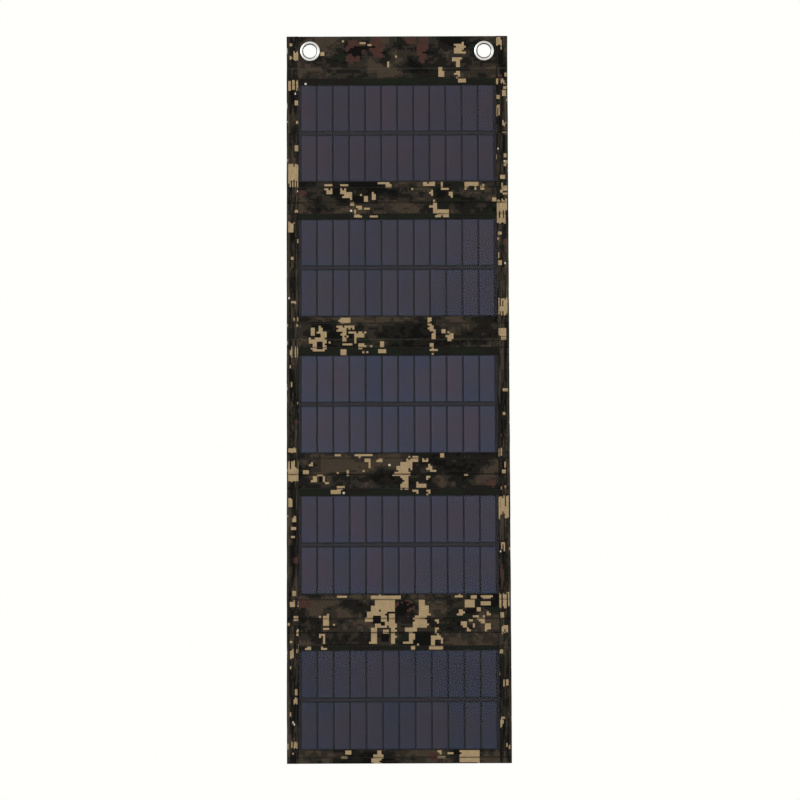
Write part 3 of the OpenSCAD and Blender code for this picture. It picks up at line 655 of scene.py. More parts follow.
def spots_of(numbers, x_lines, z_lines):
    """The print's number for each quad of a grid, from where the quad's middle lies."""
    x, z = (x_lines[:-1] + x_lines[1:]) / 2, (z_lines[:-1] + z_lines[1:]) / 2
    column = np.clip(((x + HALF_WIDTH) / BLOCK).astype(int), 0, numbers.shape[1] - 1)
    row = np.clip(((TOP - z) / BLOCK).astype(int), 0, numbers.shape[0] - 1)
    return numbers[np.ix_(row, column)]


def turned_edge(gap):
    """How far a turned edge rolls inwards, a quarter circle of 0.6 mm radius at the very edge."""
    close = np.clip(1 - gap / (0.6 * MM), 0, 1)
    return 0.35 * MM * (1 - np.sqrt(1 - close ** 2))


front_bands = [
    ("front_cloth_header", 0, TOP, windows[0][0]),
    ("front_cloth_band_1", 1, windows[0][1], windows[1][0]),
    ("front_cloth_band_2", 2, windows[1][1], windows[2][0]),
    ("front_cloth_band_3", 3, windows[2][1], windows[3][0]),
    ("front_cloth_spine_top", 4, windows[3][1], spine_middle),
    ("front_cloth_spine_foot", 5, spine_middle, windows[4][0]),
    ("front_cloth_hem", None, windows[4][1], BOTTOM),
]
EYELETS = [(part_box(name)[0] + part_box(name)[1]) / 2 for name in ("left_eyelet", "right_eyelet")]
EYELET_HOLE = 8.1 * MM


def clear_of_eyelets(x, z):
    """Which quads of a grid have their middles outside the eyelets' holes."""
    middle_x, middle_z = (x[:-1, :-1] + x[1:, 1:]) / 2, (z[:-1, :-1] + z[1:, 1:]) / 2
    return np.min([np.hypot(middle_x - eye.x, middle_z - eye.z) for eye in EYELETS], axis=0) > EYELET_HOLE


def round_hole(x, z):
    """Moves the grid points nearest to each eyelet's hole onto its circle, so that the hole is round."""
    for eye in EYELETS:
        gap = np.hypot(x - eye.x, z - eye.z)
        near = (gap < EYELET_HOLE + BLOCK * 0.45) & (gap > EYELET_HOLE - BLOCK * 0.45)
        pull = np.where(near, EYELET_HOLE / np.maximum(gap, 1e-6), 1)
        x, z = eye.x + (x - eye.x) * pull, eye.z + (z - eye.z) * pull
    return x, z


for name, order, top, bottom in front_bands:
    z_lines = rows_between(top, bottom, fine_places)
    x, z = np.meshgrid(columns, z_lines)
    rolled = sum(turned_edge(abs(z - edge)) for edge in (top, bottom) if abs(edge - spine_middle) > MM)
    depth = np.minimum(front_face(x, z) + rolled, -0.45 * MM)
    moved_x, moved_z = round_hole(x, z) if order == 0 else (x, z)
    piece = woven_piece(name, np.stack([moved_x, depth, moved_z], -1), np.stack([x, z], -1), cloth_finish,
                        spots_of(front_spots, columns, z_lines), wear_and_painted_shade_of(x, z), clear_of_eyelets(x, z))
    if order is None:
        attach(piece, "panel_5")
    else:
        bend_over(piece)
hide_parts("header_front_cloth", "panel_1_front_cloth")
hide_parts("panel_2_front_cloth")
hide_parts("panel_3_front_cloth")
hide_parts("panel_4_front_cloth")
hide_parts("spine_front_cloth")
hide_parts("panel_5_front_cloth")


# ---------------------------------------------------------------- back cloth
# The same printed cloth in one piece from the top edge to the hem, behind the boards and the leads.
# The seams that show on the front go through to it, so it has the same grooves and puckers.

def scatter_patches(numbers, count, seed):
    """Puts tan patches on a print. Each is a walk of overlapping blocks, a few spots wide and high, that
    drifts down and sideways; one in three ends in a dark hole."""
    dice = np.random.default_rng(seed)
    down, wide = numbers.shape
    for _ in range(count):
        column, row = dice.integers(1, wide - 7), dice.integers(1, down - 8)
        for _ in range(dice.integers(1, 7)):
            width, height = dice.integers(1, 6), dice.integers(1, 4)
            numbers[row:row + height, column:column + width] = TAN
            column, row = max(0, column + dice.integers(-3, 4)), row + dice.integers(0, 4)
        if dice.uniform() < 0.33:
            numbers[row - 2:row, column:column + 2] = NIGHT
    return numbers


back_spots = scatter_patches(spot_numbers(31, BLOCKS_ACROSS, BLOCKS_DOWN), 92, 5)
back_columns = np.arange(BLOCKS_ACROSS + 1) * BLOCK - HALF_WIDTH
back_columns = np.unique(np.clip(back_columns, -HALF_WIDTH, HALF_WIDTH))


def back_face(x, z):
    """Depth of the back cloth's face: the same relief as the front, pushed the other way and weaker."""
    edges = [corner.z for board in boards for corner in board]
    ridge = sum(0.25 * MM * bell(z - edge, 0.9 * MM) for edge in edges)
    return back_level(z) - 0.75 * sewn_relief(-x, z) - 0.2 * ridge


back_nodes = ["header_back_cloth"] + [f"panel_{panel}_back_cloth" for panel in PANELS]
for order, span in enumerate(SPANS):
    name, top, bottom = span[:3]
    z_lines = rows_between(top, bottom, [place for place in fine_places if place[1] > 1.2 * MM])
    x, z = np.meshgrid(back_columns[::-1], z_lines)
    ends = [edge for edge in (top, bottom) if edge in (TOP, BOTTOM)]
    rolled = sum((turned_edge(abs(z - edge)) for edge in ends), np.zeros_like(x))
    depth = np.maximum(back_face(x, z) - rolled, 0.62 * MM)
    piece = woven_piece(f"back_cloth_{name}", np.stack([x, depth, z], -1), np.stack([-x, z], -1),
                        cloth_finish, spots_of(back_spots, back_columns, z_lines)[:, ::-1],
                        wear_and_painted_shade_of(x, z), clear_of_eyelets(x, z))
    bend_over(piece)
    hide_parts(back_nodes[order])
    if name == "spine_top":
        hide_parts("spine_back_cloth")


# ---------------------------------------------------------------- edge tapes
# A strip of the same printed cloth, folded over each side edge from top to bottom and sewn through.
# It is cut along the bolt, so its print is drawn out into long upright bars and streaks.

TAPE_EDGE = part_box("panel_1_edge_tapes")[1].x
TAPE_LEG = TAPE_EDGE - 110 * MM
TAPE_CLOTH = 0.35 * MM

# Tan bars of the left and right tape: height of the middle, length, first and last share across.
TAPE_BARS = {
    -1: [(-6, 9, 0.0, 0.6), (-10, 9, 0.7, 0.9), (-39, 11, 0.05, 1.0), (-140, 26, 0.1, 1.0),
         (-198, 10, 0.5, 1.0), (-337, 12, 0.2, 0.9), (-446, 5, 0.4, 1.0), (-469, 22, 0.1, 1.0),
         (-502, 6, 0.6, 1.0), (-613, 7, 0.1, 0.6), (-663, 9, 0.1, 0.6), (-669, 9, 0.6, 0.9),
         (-768, 6, 0.3, 0.9), (-300, 4, 0.0, 0.3), (-720, 6, 0.3, 0.6)],
    1: [(10, 9, 0.2, 0.7), (-35, 4, 0.6, 1.0), (-68, 12, 0.2, 0.5), (-82, 5, 0.7, 1.0),
        (-181, 26, 0.1, 1.0), (-287, 18, 0.3, 1.0), (-315, 9, 0.3, 0.9), (-448, 9, 0.2, 0.5),
        (-509, 24, 0.1, 1.0), (-552, 8, 0.4, 0.7), (-611, 15, 0.1, 1.0), (-643, 9, 0.3, 0.9),
        (-702, 7, 0.5, 0.9), (-745, 9, 0.2, 0.5), (-770, 4, 0.6, 1.0)],
}


def tape_profile(z):
    """Across the tape at each height: a turned edge, the front leg, a half circle round the cloths' edge,
    and the back leg. The half circle is as wide as the two cloths and the board are thick."""
    front, back = front_level(z) - TAPE_CLOTH, back_level(z) + TAPE_CLOTH
    radius = (back - front) / 2
    turn_x = TAPE_EDGE - radius
    legs = TAPE_EDGE - TAPE_LEG
    near = np.array([0.0, 0.15, 0.5, 1.3, 2.6, 4.0, 5.4, 6.8, 8.2, 9.6]) * MM
    lift = np.array([0.30, 0.10, 0.0, 0, 0.06, 0, 0, 0, 0, 0]) * MM
    turns = np.linspace(-90, 90, 9) * math.pi / 180
    x = np.concatenate([legs + near[None, :] + 0 * z[:, None],
                        turn_x[:, None] + radius[:, None] * np.cos(turns)[None, :],
                        legs + near[None, ::-1] + 0 * z[:, None]], axis=1)
    y = np.concatenate([front[:, None] + lift[None, :],
                        ((front + back) / 2)[:, None] + radius[:, None] * np.sin(turns)[None, :],
                        back[:, None] - lift[None, ::-1]], axis=1)
    return x, y


def tape_spots(side, z_lines, columns_across, seed):
    """Numbers of the tape's spots: noise drawn out ten times along it, cut as the cloth's is, with the
    tan bars over it, each split by dark streaks one column wide."""
    dice = np.random.default_rng(seed)
    middle = (z_lines[:-1] + z_lines[1:]) / 2
    level, column = np.meshgrid(middle / BLOCK, np.arange(columns_across), indexing="ij")
    mix = drift(column, level, (3.0, 12), seed) + 0.8 * drift(column, level, (1.0, 5), seed + 1)
    mix = mix + 0.25 * drift(column, level, (0.9, 1.3), seed + 2)
    cuts = np.quantile(mix, [0.22, 0.62, 0.88])
    numbers = np.choose(np.digitize(mix, cuts), [NIGHT, COAL, OLIVE, BROWN])
    numbers[drift(column, level, (2, 9), seed + 3) > 0.72] = MOSS
    numbers[drift(column, level, (4, 7), seed + 6) > 0.8] = RUST
    legs = 10
    streak = drift(column, level, (0.8, 7), seed + 4)
    ragged = 1.6 * MM * drift(column, 0 * level, (0.9, 1), seed + 5)
    for height, length, first, last in TAPE_BARS[side]:
        inside = abs(level * BLOCK - height * MM - ragged) < length * MM / 2
        share = (column + 0.5) / legs
        numbers[inside & (share >= first) & (share <= last) & (streak > -0.42)] = TAN
    for rung in range(90):
        height, length = dice.uniform(BOTTOM, TOP), dice.uniform(0.8, 3.4) * MM
        first = dice.integers(0, columns_across - 3)
        last = first + dice.integers(1, 5)
        numbers[(abs(level * BLOCK - height) < length) & (column >= first) & (column < last)] = TAN
    for speck in range(8):
        height = dice.uniform(BOTTOM, TOP)
        inside = abs(level * BLOCK - height) < 1.1 * MM
        numbers[inside & (column == dice.integers(1, columns_across - 1))] = PALE
    return numbers


tape_finish = printed_oxford("printed polyester tape, woven", stretch=6.0)
tape_nodes = ["header_edge_tapes"] + [f"panel_{panel}_edge_tapes" for panel in PANELS]
for side, side_name in ((-1, "left"), (1, "right")):
    for order, span in enumerate(SPANS):
        name, top, bottom = span[:3]
        z_lines = rows_between(top, bottom, [(span[5], *FINE_CREASE), (TOP, 0.9 * MM, 0.3 * MM),
                                             (BOTTOM, 0.9 * MM, 0.3 * MM)])
        x, y = tape_profile(z_lines)
        z = np.repeat(z_lines[:, None], x.shape[1], axis=1)
        front_side = y < 0
        groove = sum(0.2 * MM * bell(z - crease, 0.9 * MM) for crease in VALLEYS)
        sway = 0.10 * MM * drift(z * 3, x, (9 * MM, 3 * MM), 80 + side)
        y = y + np.where(front_side, 1, -1) * (groove + sway)
        x = x + 0.12 * MM * drift(z, 0 * z, (16 * MM, 1), 90 + side) * smooth(0.113, 0.119, x)
        spots = tape_spots(side, z_lines, x.shape[1] - 1, 40 + 3 * side + order)
        length = np.concatenate([[0], np.cumsum(np.hypot(np.diff(x[0]), np.diff(y[0])))])
        uv = np.stack([np.repeat(length[None, :], len(z_lines), axis=0), z], -1)
        # A painted highlight: a pale line 1.9 mm in from the tape's outer edge, along its fold, added to
        # the cloth's rubbing and painted shade.
        rub_and_painted_light_amount = 0.5 * bell(x - (TAPE_EDGE - 1.9 * MM), 0.6 * MM) + wear_and_painted_shade_of(x, z)
        points = np.stack([side * x, y, z], -1)
        if side < 0:
            points, uv, spots, rub_and_painted_light_amount = points[:, ::-1], uv[:, ::-1], spots[:, ::-1], rub_and_painted_light_amount[:, ::-1]
        piece = woven_piece(f"edge_tape_{side_name}_{name}", points, uv, tape_finish, spots, rub_and_painted_light_amount,
                            thickness=TAPE_CLOTH)
        bend_over(piece)
        if side < 0:
            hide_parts(tape_nodes[order])
        elif name == "spine_top":
            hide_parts("spine_edge_tapes")


# ---------------------------------------------------------------- stitching
# Rows of lockstitch in dark bonded polyester thread: one along each window edge and the hem, and one
# down each leg of both edge tapes. Each stitch is 2.5 mm long and dips into the cloth at its ends.

STITCH_PITCH = 3.0 * MM
STITCH_LENGTH = 2.5 * MM
THREAD = 0.2 * MM
TAPE_SEAM = 112.4 * MM          # the tapes' stitches lie this far out from the middle


def beads(name, middles_at, along, out, length, radius, finish, rings=5, sides=6):
    """Many small capsules in one piece. Each is a tube of rings round its own line: a ring's radius is
    the root of 1 - t t, for t from -1 to 1 along it, and its middle dips inwards by t to the fourth."""
    t = np.linspace(-1, 1, rings)
    size = np.sqrt(np.clip(1 - (t * 0.97) ** 4, 0, 1))
    turn = np.arange(sides) * 2 * math.pi / sides
    across = np.cross(along, out)
    line = middles_at[:, None, :] + along[:, None, :] * (t * length / 2)[None, :, None]
    line = line - out[:, None, :] * (radius * 1.1 * t ** 4)[None, :, None]
    ring = (across[:, None, None, :] * np.cos(turn)[None, None, :, None]
            + out[:, None, None, :] * np.sin(turn)[None, None, :, None])
    points = line[:, :, None, :] + ring * (size * radius)[None, :, None, None]
    first = np.arange(len(middles_at))[:, None, None] * rings * sides
    row, side = np.mgrid[0:rings - 1, 0:sides]
    after = (side + 1) % sides
    quads = np.stack([row * sides + side, row * sides + after, (row + 1) * sides + after,
                      (row + 1) * sides + side], -1).reshape(1, -1, 4) + first
    near = np.arange(sides)[::-1].reshape(1, 1, -1) + first
    far = np.arange(sides).reshape(1, 1, -1) + (rings - 1) * sides + first
    faces = quads.reshape(-1, 4).tolist() + near.reshape(-1, sides).tolist()
    faces += far.reshape(-1, sides).tolist()
    return new_piece(name, points, faces, finish)


def seam_stitches(level):
    """Middles, directions and outward sides of a seam's stitches, on the front and on the back."""
    x = np.arange(-110 * MM + STITCH_PITCH, 110 * MM - STITCH_PITCH / 2, STITCH_PITCH)
    z = level + 0.08 * MM * drift(x, 0 * x, (5 * MM, 1), 100)
    front = np.stack([x, front_face(x, z) - 0.10 * MM, z], -1)
    back = np.stack([x + STITCH_PITCH / 2, back_face(x, z) + 0.06 * MM, z], -1)
    return front, back


# Bonded polyester thread, twisted: dark olive, with a soft shine along the twist.
thread_finish = patterned("dark bonded polyester thread", "TexWave", {"Scale": WAVE / (0.5 * MM)},
                          [(0.2, "#17150f"), (0.9, "#39352a")], {"Roughness": 0.5},
                          bump=(0.4, 0.06 * MM), bands_direction="DIAGONAL")
for order, span in enumerate(SPANS):
    name, top, bottom, _, _, crease = span
    middle_list, along_list, out_list = [], [], []
    for seam in SEAMS:
        if bottom < seam < top:
            for row, out in zip(seam_stitches(seam), ((0, -1, 0), (0, 1, 0))):
                middle_list.append(row)
                along_list.append(np.tile([1.0, 0, 0], (len(row), 1)))
                out_list.append(np.tile(np.array(out, float), (len(row), 1)))
    levels = np.arange(TOP - 3 * MM, BOTTOM, -STITCH_PITCH)
    levels = levels[(levels < top) & (levels >= bottom) & (abs(levels - crease) > 0.4 * MM)]
    for side in (-1, 1):
        x = np.full(len(levels), side * TAPE_SEAM) + 0.1 * MM * drift(levels, 0 * levels, (7 * MM, 1), 102)
        for face, out in ((front_level(levels) - TAPE_CLOTH, -1), (back_level(levels) + TAPE_CLOTH, 1)):
            middle_list.append(np.stack([x, face - out * 0.08 * MM, levels], -1))
            along_list.append(np.tile([0, 0, 1.0], (len(levels), 1)))
            out_list.append(np.tile([0, float(out), 0], (len(levels), 1)))
    piece = beads(f"stitching_{name}", np.concatenate(middle_list), np.concatenate(along_list),
                  np.concatenate(out_list), STITCH_LENGTH, THREAD, thread_finish)
    bend_over(piece)


# ---------------------------------------------------------------- eyelets
# Two nickel-plated brass eyelets in the header's top corners. Each is a barrel with a crowned flange
# on the front; its far end is rolled over a washer on the back, which clamps the cloths between them.

# The eyelet's outline, (radius, depth) in mm, from the barrel's inside over the front flange and back.
EYELET_OUTLINE = [(7.50, 1.30), (7.50, 0.2), (7.50, -0.85), (7.62, -1.18), (7.9, -1.36), (8.22, -1.40),
                  (8.42, -1.34), (8.56, -1.26), (8.72, -1.34), (8.95, -1.42), (9.5, -1.46), (10.1, -1.40),
                  (10.6, -1.24), (10.9, -1.02), (11.0, -0.88), (10.85, -0.80), (8.4, -0.80), (8.1, -0.7),
                  (8.1, 0.6), (8.1, 1.22), (8.7, 1.22), (9.4, 1.22), (9.5, 1.30), (9.3, 1.46), (8.8, 1.55),
                  (8.1, 1.55), (7.65, 1.48)]


def turned_ring(name, outline, middle, finish, inner_finish, inner_radius, steps=72):
    """A ring turned round the Y axis: each outline point (r, y) becomes a circle of radius r at depth y.
    Quads nearer to the axis than inner_radius take the second finish."""
    r, y = np.array(outline).T * MM
    turn = np.arange(steps) * 2 * math.pi / steps
    points = np.stack([middle.x + r[:, None] * np.cos(turn), y[:, None] + 0 * turn,
                       middle.z + r[:, None] * np.sin(turn)], -1)
    at = np.arange(len(r) * steps).reshape(len(r), steps)
    after, beside = np.roll(at, -1, axis=0), np.roll(at, -1, axis=1)
    quads = np.stack([at, beside, np.roll(after, -1, axis=1), after], -1).reshape(-1, 4)
    piece = new_piece(name, points, quads.tolist(), finish, inner_finish)
    inner = np.repeat(((r + np.roll(r, -1)) / 2 < inner_radius) & (y < 1.25 * MM), steps)
    piece.data.polygons.foreach_set("material_index", inner.astype(np.int32))
    return piece


# Nickel plate on brass, polished in a barrel: bright, very slightly warm, with fine round scratches.
nickel_finish = patterned("nickel-plated brass, polished", "TexNoise",
                          {"Scale": 1 / (1.6 * MM), "Detail": 5.0}, [(0.25, "#ecebe7"), (0.7, "#f6f5f1")],
                          {"Metallic": 1.0}, rough=(0.28, 0.38), bump=(0.05, 0.03 * MM))
# The plate inside the barrel, where the punch dulled it: a rougher grey, made darker as painted shade in
# the hole.
dulled_barrel_with_painted_shade = patterned("nickel plate, dulled, with painted shade in the barrel", "TexNoise",
                          {"Scale": 1 / (0.9 * MM), "Detail": 3.0}, [(0.3, "#2c2a28"), (0.7, "#43403d")],
                          {"Metallic": 1.0, "Roughness": 0.5})
for name, eye in zip(("left_eyelet", "right_eyelet"), EYELETS):
    piece = turned_ring(f"{name}_ring", EYELET_OUTLINE, eye, nickel_finish, dulled_barrel_with_painted_shade, 8.5 * MM)
    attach(piece, "header")
    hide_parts(name)
finish_node("eyelet_washers", nickel_finish)


# ---------------------------------------------------------------- regulator and its socket
# A small charge regulator in the pouch: a moulded case in two halves round a circuit board, with an
# outlet socket at one end that faces a window in the pouch's side.

def glass_laminate():
    """Glass-epoxy circuit laminate under green solder mask: semi-gloss, with the weave just showing."""
    made = bare("green glass-epoxy laminate")
    place = add(made, "TexCoord").outputs["Object"]
    weave = add(made, "TexChecker", {"Vector": place, "Scale": 1 / (0.6 * MM), "Color1": linear("#1d4a2b"),
                                     "Color2": linear("#235533")})
    shader = add(made, "BsdfPrincipled", {"Base Color": weave.outputs["Color"], "Roughness": 0.35})
    add(made, "OutputMaterial", {"Surface": shader.outputs[0]})
    return made


# ABS case, moulded with a fine spark texture: black and satin.
case_finish = patterned("black ABS, moulded", "TexNoise", {"Scale": 1 / (0.5 * MM), "Detail": 3.0},
                        [(0.3, "#151516"), (0.7, "#1f1f21")], {"Roughness": 0.48}, bump=(0.3, 0.08 * MM))
# Epoxy-moulded components: dark grey and dull, with a sandy grain.
epoxy_finish = patterned("dark epoxy, transfer-moulded", "TexNoise", {"Scale": 1 / (0.35 * MM)},
                         [(0.3, "#1b1b1d"), (0.7, "#303033")], {"Roughness": 0.6})
# Tin-plated steel, stamped and folded: light grey metal with a brushed haze along it.
steel_finish = patterned("tin-plated steel, stamped", "TexNoise", {"Scale": 1 / (3 * MM), "Detail": 3.0},
                         [(0.3, "#a9abad"), (0.7, "#c9cacb")], {"Metallic": 1.0}, rough=(0.25, 0.42),
                         stretch=(1.0, 8.0, 8.0))
for name in ("regulator_base", "regulator_cover"):
    finish_node(name, case_finish)
finish_node("circuit_board", glass_laminate())
finish_node("circuit_components", epoxy_finish)
finish_node("outlet_socket", steel_finish)


# ---------------------------------------------------------------- pouch
# A flat pouch sewn to the back of the last panel: one cloth face and a side wall all round it, bound
# to the back cloth by a border. It is soft, so it swells a little and wrinkles between its seams.

pouch_low, pouch_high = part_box("pouch_cloth")
POUCH_BORDER = 6.0 * MM
POUCH_CORNER = 9.0 * MM
POUCH_STEP = 2.2 * MM
POUCH_FLOOR = pouch_low.y + 0.7 * MM
POUCH_TOP = 16.15 * MM
ZIP_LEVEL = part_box("zip_slider")[0].z * 0.5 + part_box("zip_slider")[1].z * 0.5
SLOT_HALF = (62.0 * MM, 4.0 * MM)
side_x = pouch_high.x - POUCH_BORDER
face_top, face_bottom = pouch_high.z - POUCH_BORDER, pouch_low.z + POUCH_BORDER
SOCKET_LEVEL = (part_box("outlet_socket")[0].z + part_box("outlet_socket")[1].z) / 2
WINDOW_FOOT, WINDOW_TOP, WINDOW_HALF = 4.4 * MM, 12.6 * MM, 8.2 * MM    # the socket's window in the wall


def stations(*places):
    """Places along a line, with each stretch between two given ones cut into even steps of about 2.2 mm."""
    cut = [np.linspace(a, b, max(2, round(abs(b - a) / POUCH_STEP) + 1))[:-1]
           for a, b in zip(places[:-1], places[1:])]
    return np.concatenate(cut + [[places[-1]]])


def rounded(x, z, radius):
    """Pulls a rectangle's corners onto a circle: in a corner's square, a point (a, b) from its inner
    corner goes to (a, b) times the larger of a and b over its distance."""
    middle = (face_top + face_bottom) / 2
    a = np.maximum(abs(x) - (side_x - radius), 0) / radius
    b = np.maximum(abs(z - middle) - ((face_top - face_bottom) / 2 - radius), 0) / radius
    scale = np.where((a > 0) & (b > 0), np.maximum(a, b) / np.maximum(np.hypot(a, b), 1e-9), 1)
    new_x = np.where(a > 0, np.sign(x) * (side_x - radius + a * scale * radius), x)
    half = (face_top - face_bottom) / 2 - radius
    new_z = np.where(b > 0, middle + np.sign(z - middle) * (half + b * scale * radius), z)
    return new_x, new_z


face_x = stations(side_x, SLOT_HALF[0], -SLOT_HALF[0], -side_x)
face_z = stations(face_top, ZIP_LEVEL + SLOT_HALF[1], ZIP_LEVEL - SLOT_HALF[1], face_bottom)
grid_x, grid_z = np.meshgrid(face_x, face_z)
corner_x, corner_z = rounded(grid_x, grid_z, POUCH_CORNER)
face_at = np.arange(grid_x.size).reshape(grid_x.shape)
rim = np.concatenate([face_at[0, :-1], face_at[:-1, -1], face_at[-1, :0:-1], face_at[:0:-1, 0]])
rim_x, rim_z = corner_x.ravel()[rim], corner_z.ravel()[rim]
core_x = np.clip(rim_x, -(side_x - POUCH_CORNER), side_x - POUCH_CORNER)
core_z = np.clip(rim_z, face_bottom + POUCH_CORNER, face_top - POUCH_CORNER)
away_x, away_z = (rim_x - core_x) / POUCH_CORNER, (rim_z - core_z) / POUCH_CORNER
# The wall goes down in steps to the floor, then out in steps as the border.
wall_drop = np.array([0.7, 2.4, 4.75, 7.1, 9.4, 11.65, POUCH_TOP / MM - POUCH_FLOOR / MM]) * MM
border_out = np.array([2.0, 4.0, 6.0]) * MM
rings = [(rim_x, np.full(len(rim), POUCH_TOP - drop), rim_z) for drop in wall_drop]
rings += [(rim_x + away_x * out, np.full(len(rim), POUCH_FLOOR), rim_z + away_z * out)
          for out in border_out]
ring_points = np.stack([np.stack(ring, -1) for ring in rings])
face_points = np.stack([corner_x, np.full(grid_x.shape, POUCH_TOP), corner_z], -1).reshape(-1, 3)
pouch_points = np.concatenate([face_points, ring_points.reshape(-1, 3)])
# Quads of the face, with the zip's slot left open, and of the wall and border, with the socket's window.
middle_x, middle_z = (grid_x[:-1, :-1] + grid_x[1:, 1:]) / 2, (grid_z[:-1, :-1] + grid_z[1:, 1:]) / 2
shut = (abs(middle_x) > SLOT_HALF[0]) | (abs(middle_z - ZIP_LEVEL) > SLOT_HALF[1])
face_quads = grid_quads(*grid_x.shape)[shut.ravel()]
ring_at = face_at.size + np.arange(len(rings) * len(rim)).reshape(len(rings), -1)
ring_at = np.concatenate([rim[None, :], ring_at])
ring_next = np.roll(ring_at, -1, axis=1)
ring_quads = np.stack([ring_at[:-1], ring_at[1:], ring_next[1:], ring_next[:-1]], -1)
ring_x, ring_y, ring_z = np.moveaxis(pouch_points[ring_quads].mean(axis=2), -1, 0)
in_window = (ring_x < -side_x + MM) & (ring_y < WINDOW_TOP) & (ring_y > WINDOW_FOOT)
in_window &= abs(ring_z - SOCKET_LEVEL) < WINDOW_HALF
ring_quads = ring_quads[~in_window]
pouch_quads = np.concatenate([face_quads, ring_quads.reshape(-1, 4)])
used, packed = np.unique(pouch_quads, return_inverse=True)
pouch_points, pouch_quads = pouch_points[used], packed.reshape(-1, 4)
pouch = new_piece("pouch_shell", pouch_points, pouch_quads.tolist(), cloth_finish)


def swell(piece, held, pressure, cap, frames=20):
    """Cloth simulation: the piece swells under a pressure from inside for some frames, with the held
    points pinned. Each point then keeps at most cap of its way, and the modifier is gone."""
    rest = np.array([v.co for v in piece.data.vertices])
    group = piece.vertex_groups.new(name="held")
    for index, weight in enumerate(held.tolist()):
        if weight > 0:
            group.add([index], weight, "REPLACE")
    cloth = piece.modifiers.new("swell", "CLOTH")
    settings = cloth.settings
    settings.quality = 6
    settings.mass = 0.2
    settings.tension_stiffness = 14
    settings.compression_stiffness = 14
    settings.shear_stiffness = 6
    settings.bending_stiffness = 0.4
    settings.vertex_group_mass = "held"
    settings.use_pressure = True
    settings.uniform_pressure_force = pressure
    settings.shrink_min = -0.02
    settings.effector_weights.gravity = 0
    cloth.collision_settings.use_collision = False
    cloth.point_cache.frame_start = 1
    cloth.point_cache.frame_end = frames
    scene = bpy.context.scene
    for number in range(1, frames + 1):
        scene.frame_set(number)
    seen = piece.evaluated_get(bpy.context.evaluated_depsgraph_get())
    moved = np.array([v.co for v in seen.data.vertices])
    piece.modifiers.remove(cloth)
    scene.frame_set(1)
    way = moved - rest
    far = np.linalg.norm(way, axis=1)[:, None]
    way = way * np.minimum(1, cap / np.maximum(far, 1e-9))
    piece.data.vertices.foreach_set("co", (rest + way).astype(np.float32).ravel())
    piece.data.update()


near_slot = smooth(7 * MM, 2 * MM, np.maximum(abs(pouch_points[:, 0]) - SLOT_HALF[0],
                                              abs(pouch_points[:, 2] - ZIP_LEVEL) - SLOT_HALF[1]))
near_slot = np.where(pouch_points[:, 1] > POUCH_TOP - MM, near_slot, 0)
near_floor = (pouch_points[:, 1] < POUCH_FLOOR + 0.3 * MM).astype(float)
window_gap = np.maximum(abs(pouch_points[:, 2] - SOCKET_LEVEL) - 8.5 * MM, 0)
near_window = np.where(pouch_points[:, 0] < -side_x + MM, smooth(8 * MM, 2 * MM, window_gap), 0)
swell(pouch, np.maximum.reduce([near_slot, near_floor, near_window]), pressure=3.0, cap=4.0 * MM)

# The pouch's cloth is printed too: each quad has one spot, and its UV goes out from the face's middle
# down the wall. Subdivision rounds it, and Solidify gives the cloth its thickness.
quad_middle = pouch_points[pouch_quads].mean(axis=1)
down_wall = POUCH_TOP - quad_middle[:, 1]
side_way = np.where(abs(quad_middle[:, 0]) > side_x - MM, np.sign(quad_middle[:, 0]), 0)
end_way = np.where(side_way == 0, np.sign(quad_middle[:, 2] - (face_top + face_bottom) / 2), 0)
flat_x = quad_middle[:, 0] + side_way * down_wall
flat_z = quad_middle[:, 2] + end_way * down_wall
POUCH_BLOCKS_DOWN = 80
POUCH_PRINT_TOP = face_top + 24 * MM
pouch_spots = scatter_patches(spot_numbers(57, BLOCKS_ACROSS, POUCH_BLOCKS_DOWN), 26, 9)
pouch_column = np.clip(((flat_x + HALF_WIDTH) / BLOCK).astype(int), 0, BLOCKS_ACROSS - 1)
pouch_row = np.clip(((POUCH_PRINT_TOP - flat_z) / BLOCK).astype(int), 0, POUCH_BLOCKS_DOWN - 1)
set_print(pouch.data, pouch_spots[pouch_row, pouch_column])
store_wear_and_painted_light(pouch.data, 0.35 * bell(POUCH_TOP - 0.7 * MM - pouch_points[:, 1], 1.6 * MM) * (1 - near_slot))
corners = pouch_points[pouch_quads]
corner_uv = np.stack([corners[..., 0] + side_way[:, None] * (POUCH_TOP - corners[..., 1]),
                      corners[..., 2] + end_way[:, None] * (POUCH_TOP - corners[..., 1])], -1)
pouch.data.uv_layers.new(name="cloth").data.foreach_set("uv", corner_uv.astype(np.float32).ravel())
rounding = pouch.modifiers.new("rounding", "SUBSURF")
rounding.levels = rounding.render_levels = 1
thicken(pouch, "cloth thickness", 0.6 * MM)
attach(pouch, "panel_5")
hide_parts("pouch_cloth")


# The border is sewn to the back cloth 3 mm out from the wall, and the face is sewn to the zip's tape
# just outside the slot.
def sewn_line(points, along_from, spacing):
    """Stitch middles and directions every so far along a line of points."""
    gaps = np.linalg.norm(np.diff(points, axis=0), axis=1)
    reach = np.concatenate([[0], np.cumsum(gaps)])
    at = np.arange(along_from, reach[-1] - along_from, spacing)
    place = np.stack([np.interp(at, reach, points[:, k]) for k in range(3)], -1)
    ahead = np.stack([np.interp(at + 0.5 * MM, reach, points[:, k]) for k in range(3)], -1)
    way = ahead - place
    return place, way / np.linalg.norm(way, axis=1)[:, None]


